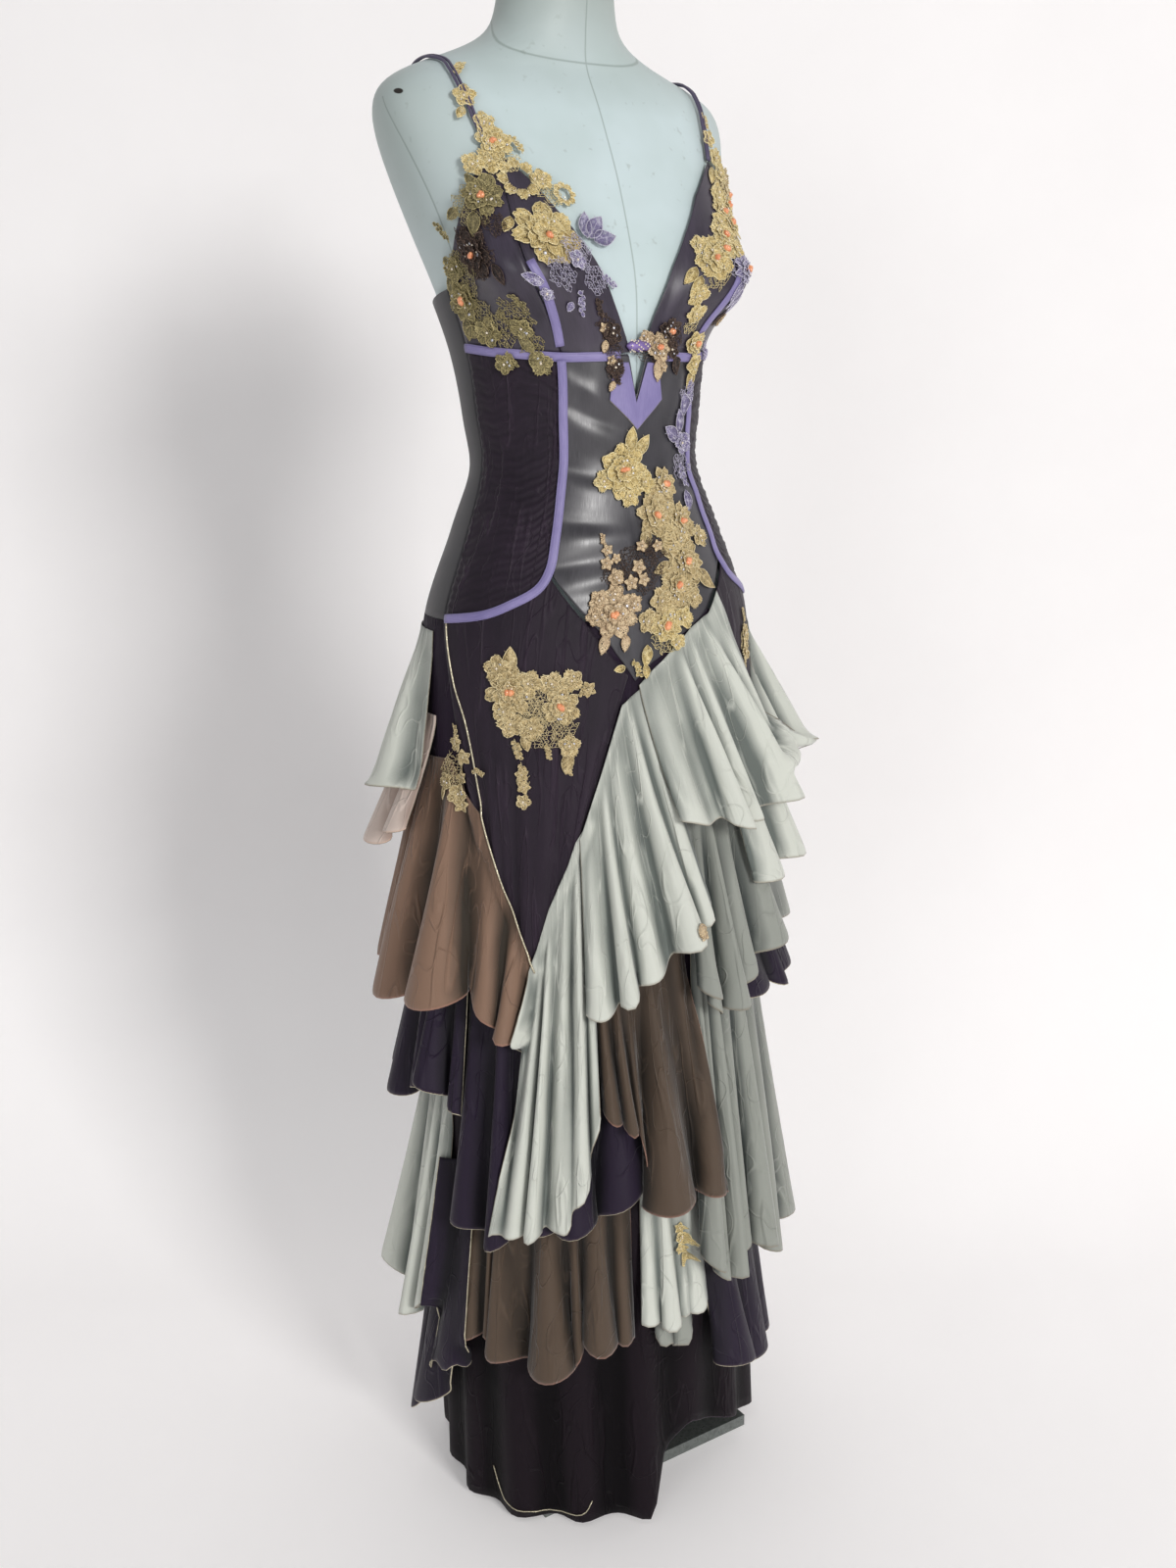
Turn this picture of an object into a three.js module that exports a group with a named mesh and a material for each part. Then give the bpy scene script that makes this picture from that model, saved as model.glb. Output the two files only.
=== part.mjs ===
import * as THREE from "three";

// A layered evening gown on a limbless dress form, in millimetres, +Z up.
// The origin is on the floor under the form's pole. The front faces -Y, and the wearer's left is +X.
// An angle is counted round the figure in degrees: 0 at the centre front, 90 at the wearer's left side.
// "Out" is a distance outwards from the figure's own surface.

// Driving sizes of the cloth.
const cloth = 1.4; // a wall of satin, or of chiffon with its rolled hem
const seamGap = 0.3; // between pieces that are sewn edge to edge
const airOverForm = 2.4; // from the dress form to the bodice
const restGap = 0.4; // from one layer to the one that lies on it
const stripGap = 1.3; // the same for a narrow strip or lace, whose steps cut across the curve
const bindingWidth = 8.5;
const strapWidth = 6.5;
const hipSeamHeight = 952; // where the skirt is sewn to the bodice at the sides and back

// Colours, from the photograph.
const colours = {
  form: [0xc4d6d2, 0.75, 0],
  metal: [0x3a3f3e, 0.5, 0.6],
  satin: [0x55565a, 0.35, 0],
  plum: [0x33283a, 0.8, 0],
  lilac: [0x8076b8, 0.4, 0],
  sage: [0xa7ada2, 0.85, 0],
  brown: [0x5f5046, 0.85, 0],
  gold: [0xc2ae72, 0.6, 0.2],
  darkLace: [0x4a3f3c, 0.7, 0.1],
};
const materials = {};
for (const [name, [color, roughness, metalness]] of Object.entries(colours)) {
  materials[name] = new THREE.MeshStandardMaterial({ color, roughness, metalness });
}

// Level sections of the figure from the neck to the hip, and of the skirt's mean line below it.
// halfWidth is along X, front and back are depths along Y, shift moves the section back,
// and square is the exponent of its superellipse.
const figureSections = [
  { height: 0, halfWidth: 170, front: 160, back: 162, shift: 0, square: 2.0 },
  { height: 300, halfWidth: 174, front: 150, back: 156, shift: 0, square: 2.0 },
  { height: 600, halfWidth: 177, front: 138, back: 148, shift: 0, square: 2.05 },
  { height: 800, halfWidth: 176, front: 126, back: 138, shift: -2, square: 2.15 },
  { height: 905, halfWidth: 172, front: 118, back: 130, shift: -4, square: 2.2 },
  { height: 960, halfWidth: 165, front: 112, back: 119, shift: -5, square: 2.15 },
  { height: 1030, halfWidth: 138, front: 99, back: 100, shift: -4, square: 2.1 },
  { height: 1089, halfWidth: 117, front: 88, back: 84, shift: -2, square: 2.0 },
  { height: 1140, halfWidth: 120, front: 91, back: 88, shift: 0, square: 2.05 },
  { height: 1196, halfWidth: 127, front: 96, back: 97, shift: 3, square: 2.1 },
  { height: 1250, halfWidth: 141, front: 99, back: 103, shift: 10, square: 2.2 },
  { height: 1300, halfWidth: 158, front: 98, back: 102, shift: 20, square: 2.3 },
  { height: 1350, halfWidth: 176, front: 92, back: 98, shift: 28, square: 2.4 },
  { height: 1390, halfWidth: 187, front: 82, back: 92, shift: 36, square: 2.5 },
  { height: 1420, halfWidth: 190, front: 72, back: 80, shift: 40, square: 2.4 },
  { height: 1440, halfWidth: 175, front: 62, back: 68, shift: 42, square: 2.3 },
  { height: 1454, halfWidth: 140, front: 56, back: 60, shift: 42, square: 2.1 },
  { height: 1468, halfWidth: 100, front: 54, back: 57, shift: 40, square: 2.0 },
  { height: 1484, halfWidth: 72, front: 53, back: 55, shift: 38, square: 2.0 },
  { height: 1502, halfWidth: 62, front: 52, back: 54, shift: 34, square: 2.0 },
  { height: 1560, halfWidth: 56, front: 50, back: 52, shift: 28, square: 2.0 },
];
// A general full figure under the cups, one soft swelling on each side.
const cupFullness = { out: 42, angle: 37, spread: 21, height: 1262, above: 62, below: 40 };

const radians = THREE.MathUtils.degToRad;

// Gives each row of a short table its named columns.
function table(columns, rows) {
  return rows.map((row) => Object.fromEntries(columns.map((name, i) => [name, row[i]])));
}
const cutColumns = ["along", "topAngle", "topHeight", "hemAngle", "hemHeight"];
const spineColumns = ["angle", "height", "half"];
const pathColumns = ["angle", "height"];

// Brings an angle to within half a turn of another.
function near(angle, other) {
  return other + ((((angle - other + 180) % 360) + 360) % 360) - 180;
}

// Reads a table at a position between its rows, straight from row to row.
function readTable(rows, key, at, column) {
  let i = 0;
  while (i < rows.length - 2 && at > rows[i + 1][key]) i += 1;
  const share = (at - rows[i][key]) / (rows[i + 1][key] - rows[i][key]);
  return THREE.MathUtils.lerp(rows[i][column], rows[i + 1][column], THREE.MathUtils.clamp(share, 0, 1));
}

// One section of the figure at any height, smooth from row to row.
function sectionAt(height) {
  const rows = figureSections;
  const z = THREE.MathUtils.clamp(height, rows[0].height, rows[rows.length - 1].height);
  let i = 0;
  while (i < rows.length - 2 && z > rows[i + 1].height) i += 1;
  const before = rows[Math.max(i - 1, 0)];
  const low = rows[i];
  const high = rows[i + 1];
  const after = rows[Math.min(i + 2, rows.length - 1)];
  const span = high.height - low.height;
  const t = (z - low.height) / span;
  const rise = 3 * t ** 2 - 2 * t ** 3;
  const leave = t ** 3 - 2 * t ** 2 + t;
  const arrive = t ** 3 - t ** 2;
  const read = (column) => {
    const slopeLow = ((high[column] - before[column]) / (high.height - before.height)) * span;
    const slopeHigh = ((after[column] - low[column]) / (after.height - low.height)) * span;
    return (1 - rise) * low[column] + rise * high[column] + leave * slopeLow + arrive * slopeHigh;
  };
  return {
    halfWidth: read("halfWidth"),
    front: read("front"),
    back: read("back"),
    shift: read("shift"),
    square: read("square"),
  };
}

function cupSwelling(angle, height) {
  const side = (Math.abs(angle) - cupFullness.angle) / cupFullness.spread;
  const reach = height > cupFullness.height ? cupFullness.above : cupFullness.below;
  return cupFullness.out * Math.exp(-(side ** 2)) * Math.exp(-(((height - cupFullness.height) / reach) ** 2));
}

// A point of the figure's surface, moved straight out from the figure's middle.
function figurePoint(angle, height, out = 0) {
  const wrapped = angle > 180 ? angle - 360 : angle < -180 ? angle + 360 : angle;
  const section = sectionAt(height);
  const sine = Math.sin(radians(wrapped));
  const cosine = Math.cos(radians(wrapped));
  const depth = cosine > 0 ? section.front : section.back;
  const power = 2 / section.square;
  const x = section.halfWidth * Math.sign(sine) * Math.abs(sine) ** power;
  const y = -depth * Math.sign(cosine) * Math.abs(cosine) ** power;
  const radius = Math.hypot(x, y);
  const grown = (radius + cupSwelling(wrapped, height) + out) / radius;
  return new THREE.Vector3(x * grown, y * grown + section.shift, height);
}

// How far out the layers made so far reach, on a map of angle and height.
const mapSteps = { angle: 1.5, height: 4, rows: 380, columns: 240, samples: 20 };
const typicalRadius = 200; // of the skirt, for how far a straight step cuts inside the curve
const reached = new Float32Array(mapSteps.rows * mapSteps.columns);

function mapIndex(angle, height) {
  const column = Math.round((near(angle, 180) % 360) / mapSteps.angle) % mapSteps.columns;
  const row = THREE.MathUtils.clamp(Math.round(height / mapSteps.height), 0, mapSteps.rows - 1);
  return row * mapSteps.columns + column;
}

function reachedWithin(angles, heights) {
  let most = 0;
  for (let a = Math.min(...angles); a <= Math.max(...angles) + mapSteps.angle; a += mapSteps.angle) {
    for (let z = Math.min(...heights); z <= Math.max(...heights) + mapSteps.height; z += mapSteps.height) {
      most = Math.max(most, reached[mapIndex(a, z)]);
    }
  }
  return most;
}

// Closes two faces of a grid, inner and outer, into one wall. A ring joins its last column to its first,
// and an open cell is cut through.
function wallGeometry(inner, outer, isRing, open = () => false) {
  const columns = inner.length;
  const rows = inner[0].length;
  const positions = [];
  for (const face of [inner, outer]) {
    for (const column of face) for (const point of column) positions.push(point.x, point.y, point.z);
  }
  const innerAt = (i, j) => (i % columns) * rows + j;
  const outerAt = (i, j) => columns * rows + innerAt(i, j);
  const index = [];
  const quad = (a, b, c, d) => index.push(a, b, c, a, c, d);
  const spans = isRing ? columns : columns - 1;
  for (let i = 0; i < spans; i += 1) {
    for (let j = 0; j < rows - 1; j += 1) {
      if (open(i, j)) {
        const corners = [[i, j], [i + 1, j], [i + 1, j + 1], [i, j + 1]];
        for (let k = 0; k < 4; k += 1) {
          const from = corners[k];
          const to = corners[(k + 1) % 4];
          quad(innerAt(...from), innerAt(...to), outerAt(...to), outerAt(...from));
        }
      } else {
        quad(outerAt(i, j), outerAt(i, j + 1), outerAt(i + 1, j + 1), outerAt(i + 1, j));
        quad(innerAt(i, j), innerAt(i + 1, j), innerAt(i + 1, j + 1), innerAt(i, j + 1));
      }
    }
    quad(outerAt(i, 0), outerAt(i + 1, 0), innerAt(i + 1, 0), innerAt(i, 0));
    quad(outerAt(i, rows - 1), innerAt(i, rows - 1), innerAt(i + 1, rows - 1), outerAt(i + 1, rows - 1));
  }
  if (!isRing) {
    const last = columns - 1;
    for (let j = 0; j < rows - 1; j += 1) {
      quad(outerAt(0, j), innerAt(0, j), innerAt(0, j + 1), outerAt(0, j + 1));
      quad(outerAt(last, j), outerAt(last, j + 1), innerAt(last, j + 1), innerAt(last, j));
    }
  }
  const geometry = new THREE.BufferGeometry();
  geometry.setAttribute("position", new THREE.Float32BufferAttribute(positions, 3));
  geometry.setIndex(index);
  return geometry;
}

// A piece of cloth laid on what is already there. places[i][j] is {angle, height, out, relief}:
// out is how far the inner face would like to stand, and relief thickens the wall outwards.
function layCloth({ places, thickness = cloth, clearance = restGap, isRing = false, onForm = false }) {
  const columns = places.length;
  const rows = places[0].length;
  const inner = [];
  const outer = [];
  const outs = [];
  for (let i = 0; i < columns; i += 1) {
    inner.push([]);
    outer.push([]);
    outs.push([]);
    for (let j = 0; j < rows; j += 1) {
      const here = places[i][j];
      let out = here.out;
      if (!onForm) {
        const around = [];
        for (const p of [i - 1, i, i + 1]) {
          for (const q of [j - 1, j, j + 1]) {
            const column = isRing ? (p + columns) % columns : p;
            if (places[column] && places[column][q]) around.push(places[column][q]);
          }
        }
        const angles = around.map((place) => near(place.angle, here.angle));
        const widest = Math.max(...angles) - Math.min(...angles);
        const chordDip = typicalRadius * (1 - Math.cos(radians(widest / 4)));
        const below = reachedWithin(angles, around.map((place) => place.height));
        out = Math.max(out, below + clearance + chordDip);
      }
      const top = out + thickness + (here.relief || 0);
      outs[i].push(top);
      inner[i].push(figurePoint(here.angle, here.height, out));
      outer[i].push(figurePoint(here.angle, here.height, top));
    }
  }
  return { geometry: wallGeometry(inner, outer, isRing), places, outs, isRing };
}

// Marks a finished piece on the map, so that the next layers lie outside it.
function markReached({ places, outs, isRing }) {
  const columns = places.length;
  const spans = isRing ? columns : columns - 1;
  const steps = mapSteps.samples;
  for (let i = 0; i < spans; i += 1) {
    const next = (i + 1) % columns;
    for (let j = 0; j < places[0].length - 1; j += 1) {
      for (let s = 0; s <= steps; s += 1) {
        for (let t = 0; t <= steps; t += 1) {
          const mix = (read) => {
            const low = THREE.MathUtils.lerp(read(i, j), read(next, j), s / steps);
            const high = THREE.MathUtils.lerp(read(i, j + 1), read(next, j + 1), s / steps);
            return THREE.MathUtils.lerp(low, high, t / steps);
          };
          const angle = mix((p, q) => near(places[p][q].angle, places[i][j].angle));
          const at = mapIndex(angle, mix((p, q) => places[p][q].height));
          reached[at] = Math.max(reached[at], mix((p, q) => outs[p][q]));
        }
      }
    }
  }
}

// Marks a narrow piece by its line: each point is {angle, height, reach, spread}.
function markLine(points) {
  for (const { angle, height, reach, spread } of points) {
    for (let a = angle - spread / 3; a <= angle + spread / 3; a += mapSteps.angle) {
      for (let z = height - spread; z <= height + spread; z += mapSteps.height) {
        const at = mapIndex(a, z);
        reached[at] = Math.max(reached[at], reach);
      }
    }
  }
}

const gown = new THREE.Group();

function addMesh(name, geometry, material) {
  const mesh = new THREE.Mesh(geometry, materials[material]);
  mesh.name = name;
  gown.add(mesh);
}

// Pieces of one layer lie side by side: all are laid before any is marked.
function addLayer(pieces) {
  const laid = pieces.map((piece) => ({ ...piece, ...layCloth(piece) }));
  for (const piece of laid) {
    addMesh(piece.name, piece.geometry, piece.material);
    markReached(piece);
  }
}

// Places of a panel that runs from its top to its hem, by the rows of its cut.
function placesBetween({ lines, across, down, downShares, out = () => airOverForm, relief = () => 0 }) {
  const shares = downShares || Array.from({ length: down + 1 }, (_, j) => j / down);
  const rows = table(cutColumns, lines);
  const places = [];
  for (let i = 0; i <= across; i += 1) {
    const u = i / across;
    const read = (column) => readTable(rows, "along", u, column);
    const column = [];
    for (const v of shares) {
      column.push({
        angle: THREE.MathUtils.lerp(read("topAngle"), read("hemAngle"), v),
        height: THREE.MathUtils.lerp(read("topHeight"), read("hemHeight"), v),
        out: out(u, v),
        relief: relief(u, v),
      });
    }
    places.push(column);
  }
  return places;
}

// The dress form: one smooth closed torso from the neck's top to under the hip, on a pole and a plate.
const formBottom = 790;
const formFlare = 940; // above this height the form is the figure itself
const neckTop = 1556;
const formHeights = [
  790, 796, 830, 870, 905, 940, 970, 1005, 1047, 1089, 1125, 1160, 1196, 1222, 1246, 1270, 1295,
  1325, 1355, 1390, 1415, 1434, 1448, 1460, 1473, 1488, 1508, neckTop,
];
const bottomTuck = 0.1;
const formShrink = 2.4;
function formGeometry() {
  const columns = 28;
  const rings = formHeights.map((height) => {
    const share = Math.max(0, (formFlare - height) / (formFlare - formBottom));
    const tuck = 1 - bottomTuck * share ** 2 - (height === formBottom ? 0.03 : 0);
    const ring = [];
    for (let i = 0; i < columns; i += 1) {
      const point = figurePoint((i * 360) / columns - 180, Math.max(height, formFlare), -formShrink);
      ring.push(point.set(point.x * tuck, point.y * tuck, height));
    }
    return ring;
  });
  const positions = [];
  for (const ring of rings) for (const point of ring) positions.push(point.x, point.y, point.z);
  const index = [];
  for (let r = 0; r < rings.length - 1; r += 1) {
    for (let i = 0; i < columns; i += 1) {
      const here = r * columns + i;
      const beside = r * columns + ((i + 1) % columns);
      index.push(here, beside, beside + columns, here, beside + columns, here + columns);
    }
  }
  for (const ring of [0, rings.length - 1]) {
    const middle = positions.length / 3;
    const centre = new THREE.Vector3();
    for (const point of rings[ring]) centre.addScaledVector(point, 1 / columns);
    positions.push(centre.x, centre.y, centre.z);
    for (let i = 0; i < columns; i += 1) {
      const here = ring * columns + i;
      const beside = ring * columns + ((i + 1) % columns);
      index.push(...(ring ? [here, beside, middle] : [beside, here, middle]));
    }
  }
  const geometry = new THREE.BufferGeometry();
  geometry.setAttribute("position", new THREE.Float32BufferAttribute(positions, 3));
  geometry.setIndex(index);
  return geometry;
}

const plate = { width: 270, depth: 200, thickness: 13 };
const pole = { radius: 13, sides: 20 };
function addForm() {
  addMesh("form_torso", formGeometry(), "form");
  const base = new THREE.BoxGeometry(plate.width, plate.depth, plate.thickness);
  base.translate(0, 0, plate.thickness / 2);
  addMesh("form_foot_plate", base, "metal");
  const low = plate.thickness + seamGap;
  const high = formBottom - seamGap;
  const upright = new THREE.CylinderGeometry(pole.radius, pole.radius, high - low, pole.sides);
  upright.rotateX(Math.PI / 2);
  upright.translate(0, 0, (low + high) / 2);
  addMesh("form_pole", upright, "metal");
}

// The long underskirt, from the hip seam to a hem just clear of the floor.
// Each soft fold is a ridge at the angle it hangs at.
const underskirtFolds = [
  { angle: -172, out: 17, spread: 8 },
  { angle: -150, out: 14, spread: 9 },
  { angle: -127, out: 18, spread: 8 },
  { angle: -104, out: 14, spread: 8 },
  { angle: -82, out: 17, spread: 8 },
  { angle: -60, out: 22, spread: 9 },
  { angle: -38, out: 17, spread: 7 },
  { angle: -15, out: 20, spread: 6 },
  { angle: 6, out: 8, spread: 7 },
  { angle: 27, out: 15, spread: 8 },
  { angle: 50, out: 13, spread: 8 },
  { angle: 73, out: 18, spread: 8 },
  { angle: 96, out: 14, spread: 8 },
  { angle: 119, out: 18, spread: 9 },
  { angle: 142, out: 14, spread: 8 },
  { angle: 165, out: 18, spread: 8 },
];
const underskirtHem = [
  { angle: -180, height: 9 },
  { angle: -60, height: 6 },
  { angle: -14, height: 7 },
  { angle: -7, height: 72 },
  { angle: 4, height: 94 },
  { angle: 20, height: 72 },
  { angle: 40, height: 46 },
  { angle: 64, height: 18 },
  { angle: 90, height: 9 },
  { angle: 180, height: 9 },
];
const underskirtRows = [0, 0.03, 0.07, 0.16, 0.4, 0.7, 1];
const underskirtTuck = 7; // the hem between folds hangs this far inside the figure's line
function underskirtFold(angle) {
  let out = 0;
  for (const fold of underskirtFolds) {
    const away = near(angle, fold.angle) - fold.angle;
    out += fold.out * Math.exp(-((away / fold.spread) ** 2));
  }
  return out;
}
function underskirt() {
  const columns = 64;
  const places = [];
  for (let i = 0; i < columns; i += 1) {
    const angle = (i * 360) / columns - 180;
    const hem = readTable(underskirtHem, "angle", angle, "height");
    places.push(
      underskirtRows.map((share) => ({
        angle,
        height: THREE.MathUtils.lerp(hipSeamHeight, hem, share),
        out: airOverForm + underskirtFold(angle) * share ** 1.3 - underskirtTuck * share,
      })),
    );
  }
  return { name: "underskirt", material: "plum", places, isRing: true, onForm: true };
}

// A panel's cut is rows of cutColumns: how far along the panel, and its top and its hem there.
// side is -1 on the wearer's right and 1 on the left.
function cutFor(side, lines) {
  if (side > 0) return lines;
  const mirrored = lines.map(([along, topAngle, topHeight, hemAngle, hemHeight]) => [
    1 - along,
    -topAngle,
    topHeight,
    -hemAngle,
    hemHeight,
  ]);
  return mirrored.reverse();
}

// The bodice. Each side is cut as an inner cup, an outer cup, a ruched side panel and a back.
const ruching = { pleats: 11, depth: 1.4 };
const bodiceCuts = {
  cup_inner: {
    material: "satin",
    across: 7,
    down: 7,
    lines: [
      [0, 4.5, 1207, 3.2, 1193.6],
      [0.16, 8.5, 1236, 8, 1192.6],
      [0.36, 12.5, 1270, 13, 1191.6],
      [0.56, 17.5, 1301, 18, 1190.8],
      [0.78, 25, 1338, 25, 1190.8],
      [1, 35.6, 1372, 33.2, 1192.6],
    ],
  },
  cup_outer: {
    material: "satin",
    across: 8,
    down: 6,
    lines: [
      [0, 35.9, 1372, 33.5, 1192.6],
      [0.35, 53, 1320, 50, 1194.4],
      [0.7, 71, 1281, 68, 1197],
      [1, 84, 1253, 84, 1200],
    ],
  },
  side_ruched: {
    material: "plum",
    across: 4,
    down: 2 * ruching.pleats,
    relief: (u, v) => (Math.round(v * 2 * ruching.pleats) % 2 === 1 ? ruching.depth : 0),
    lines: [
      [0, 33.5, 1191.6, 37.8, 998],
      [0.25, 46, 1193, 48.5, 972],
      [0.6, 64, 1196, 64, 959],
      [1, 84, 1199.4, 84, 952.8],
    ],
  },
  back: {
    material: "satin",
    across: 8,
    down: 7,
    lines: [
      [0, 84.3, 1252.6, 84.3, hipSeamHeight + seamGap],
      [0.5, 132, 1236, 132, hipSeamHeight + seamGap],
      [1, 179.8, 1222, 179.8, hipSeamHeight + seamGap],
    ],
  },
};
function bodiceSide(side, word) {
  return Object.entries(bodiceCuts).map(([name, cut]) => ({
    name: name + "_" + word,
    material: cut.material,
    onForm: true,
    places: placesBetween({ ...cut, lines: cutFor(side, cut.lines) }),
  }));
}
// The centre front ends in a point over the skirt, and is slit at the top between the cups.
const centreFront = {
  across: 14,
  down: 12,
  lines: [
    [0, -33.2, 1191.6, -37.5, 998],
    [0.16, -24, 1189.6, -28, 970],
    [0.3, -14, 1190.4, -17, 938],
    [0.43, -4, 1192, -9, 903],
    [0.5, -0.6, 1152, -7, 893],
    [0.57, 4, 1192, -3, 905],
    [0.7, 14, 1190.4, 9, 932],
    [0.84, 24, 1189.6, 20.5, 950],
    [1, 33.2, 1191.6, 37.5, 998],
  ],
};
// The hip panels hang from the hip curve and from the centre front's point.
const hipPanels = {
  hip_panel_right: {
    across: 8,
    down: 9,
    lines: [
      [0, -83.5, 951, -63, 745],
      [0.25, -64, 957, -57, 700],
      [0.45, -49, 970.5, -51, 655],
      [0.57, -38, 996.5, -46.5, 618],
      [0.75, -24, 953, -36, 690],
      [1, -9.5, 899, -27, 752],
    ],
  },
  hip_panel_left: {
    across: 6,
    down: 5,
    lines: [
      [0, 21.5, 949, 26, 900],
      [0.35, 38, 996.5, 42, 850],
      [0.6, 49, 970.5, 52, 830],
      [1, 83.5, 951, 70, 800],
    ],
  },
};

// A pointed tab frames the slit, and a knot joins the cups above it.
const keyholeTab = {
  across: 6,
  down: 3,
  lines: [
    [0, -10.5, 1184.5, -13, 1151],
    [0.42, -4.2, 1184.5, -4, 1133],
    [0.5, -0.6, 1148, 0, 1124],
    [0.58, 4.2, 1184.5, 4, 1133],
    [1, 9.5, 1184.5, 12.5, 1151],
  ],
};
const knot = { halfWidth: 10, halfDepth: 4.5, halfHeight: 7, height: 1199, segments: 12, sink: 4.2 };
function addKnot() {
  const geometry = new THREE.SphereGeometry(1, knot.segments, knot.segments / 2);
  geometry.scale(knot.halfWidth, knot.halfDepth, knot.halfHeight);
  const seat = figurePoint(0, knot.height, airOverForm + cloth + stripGap + knot.halfDepth - knot.sink);
  geometry.translate(seat.x, seat.y, seat.z);
  addMesh("cup_knot", geometry, "lilac");
}

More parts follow.
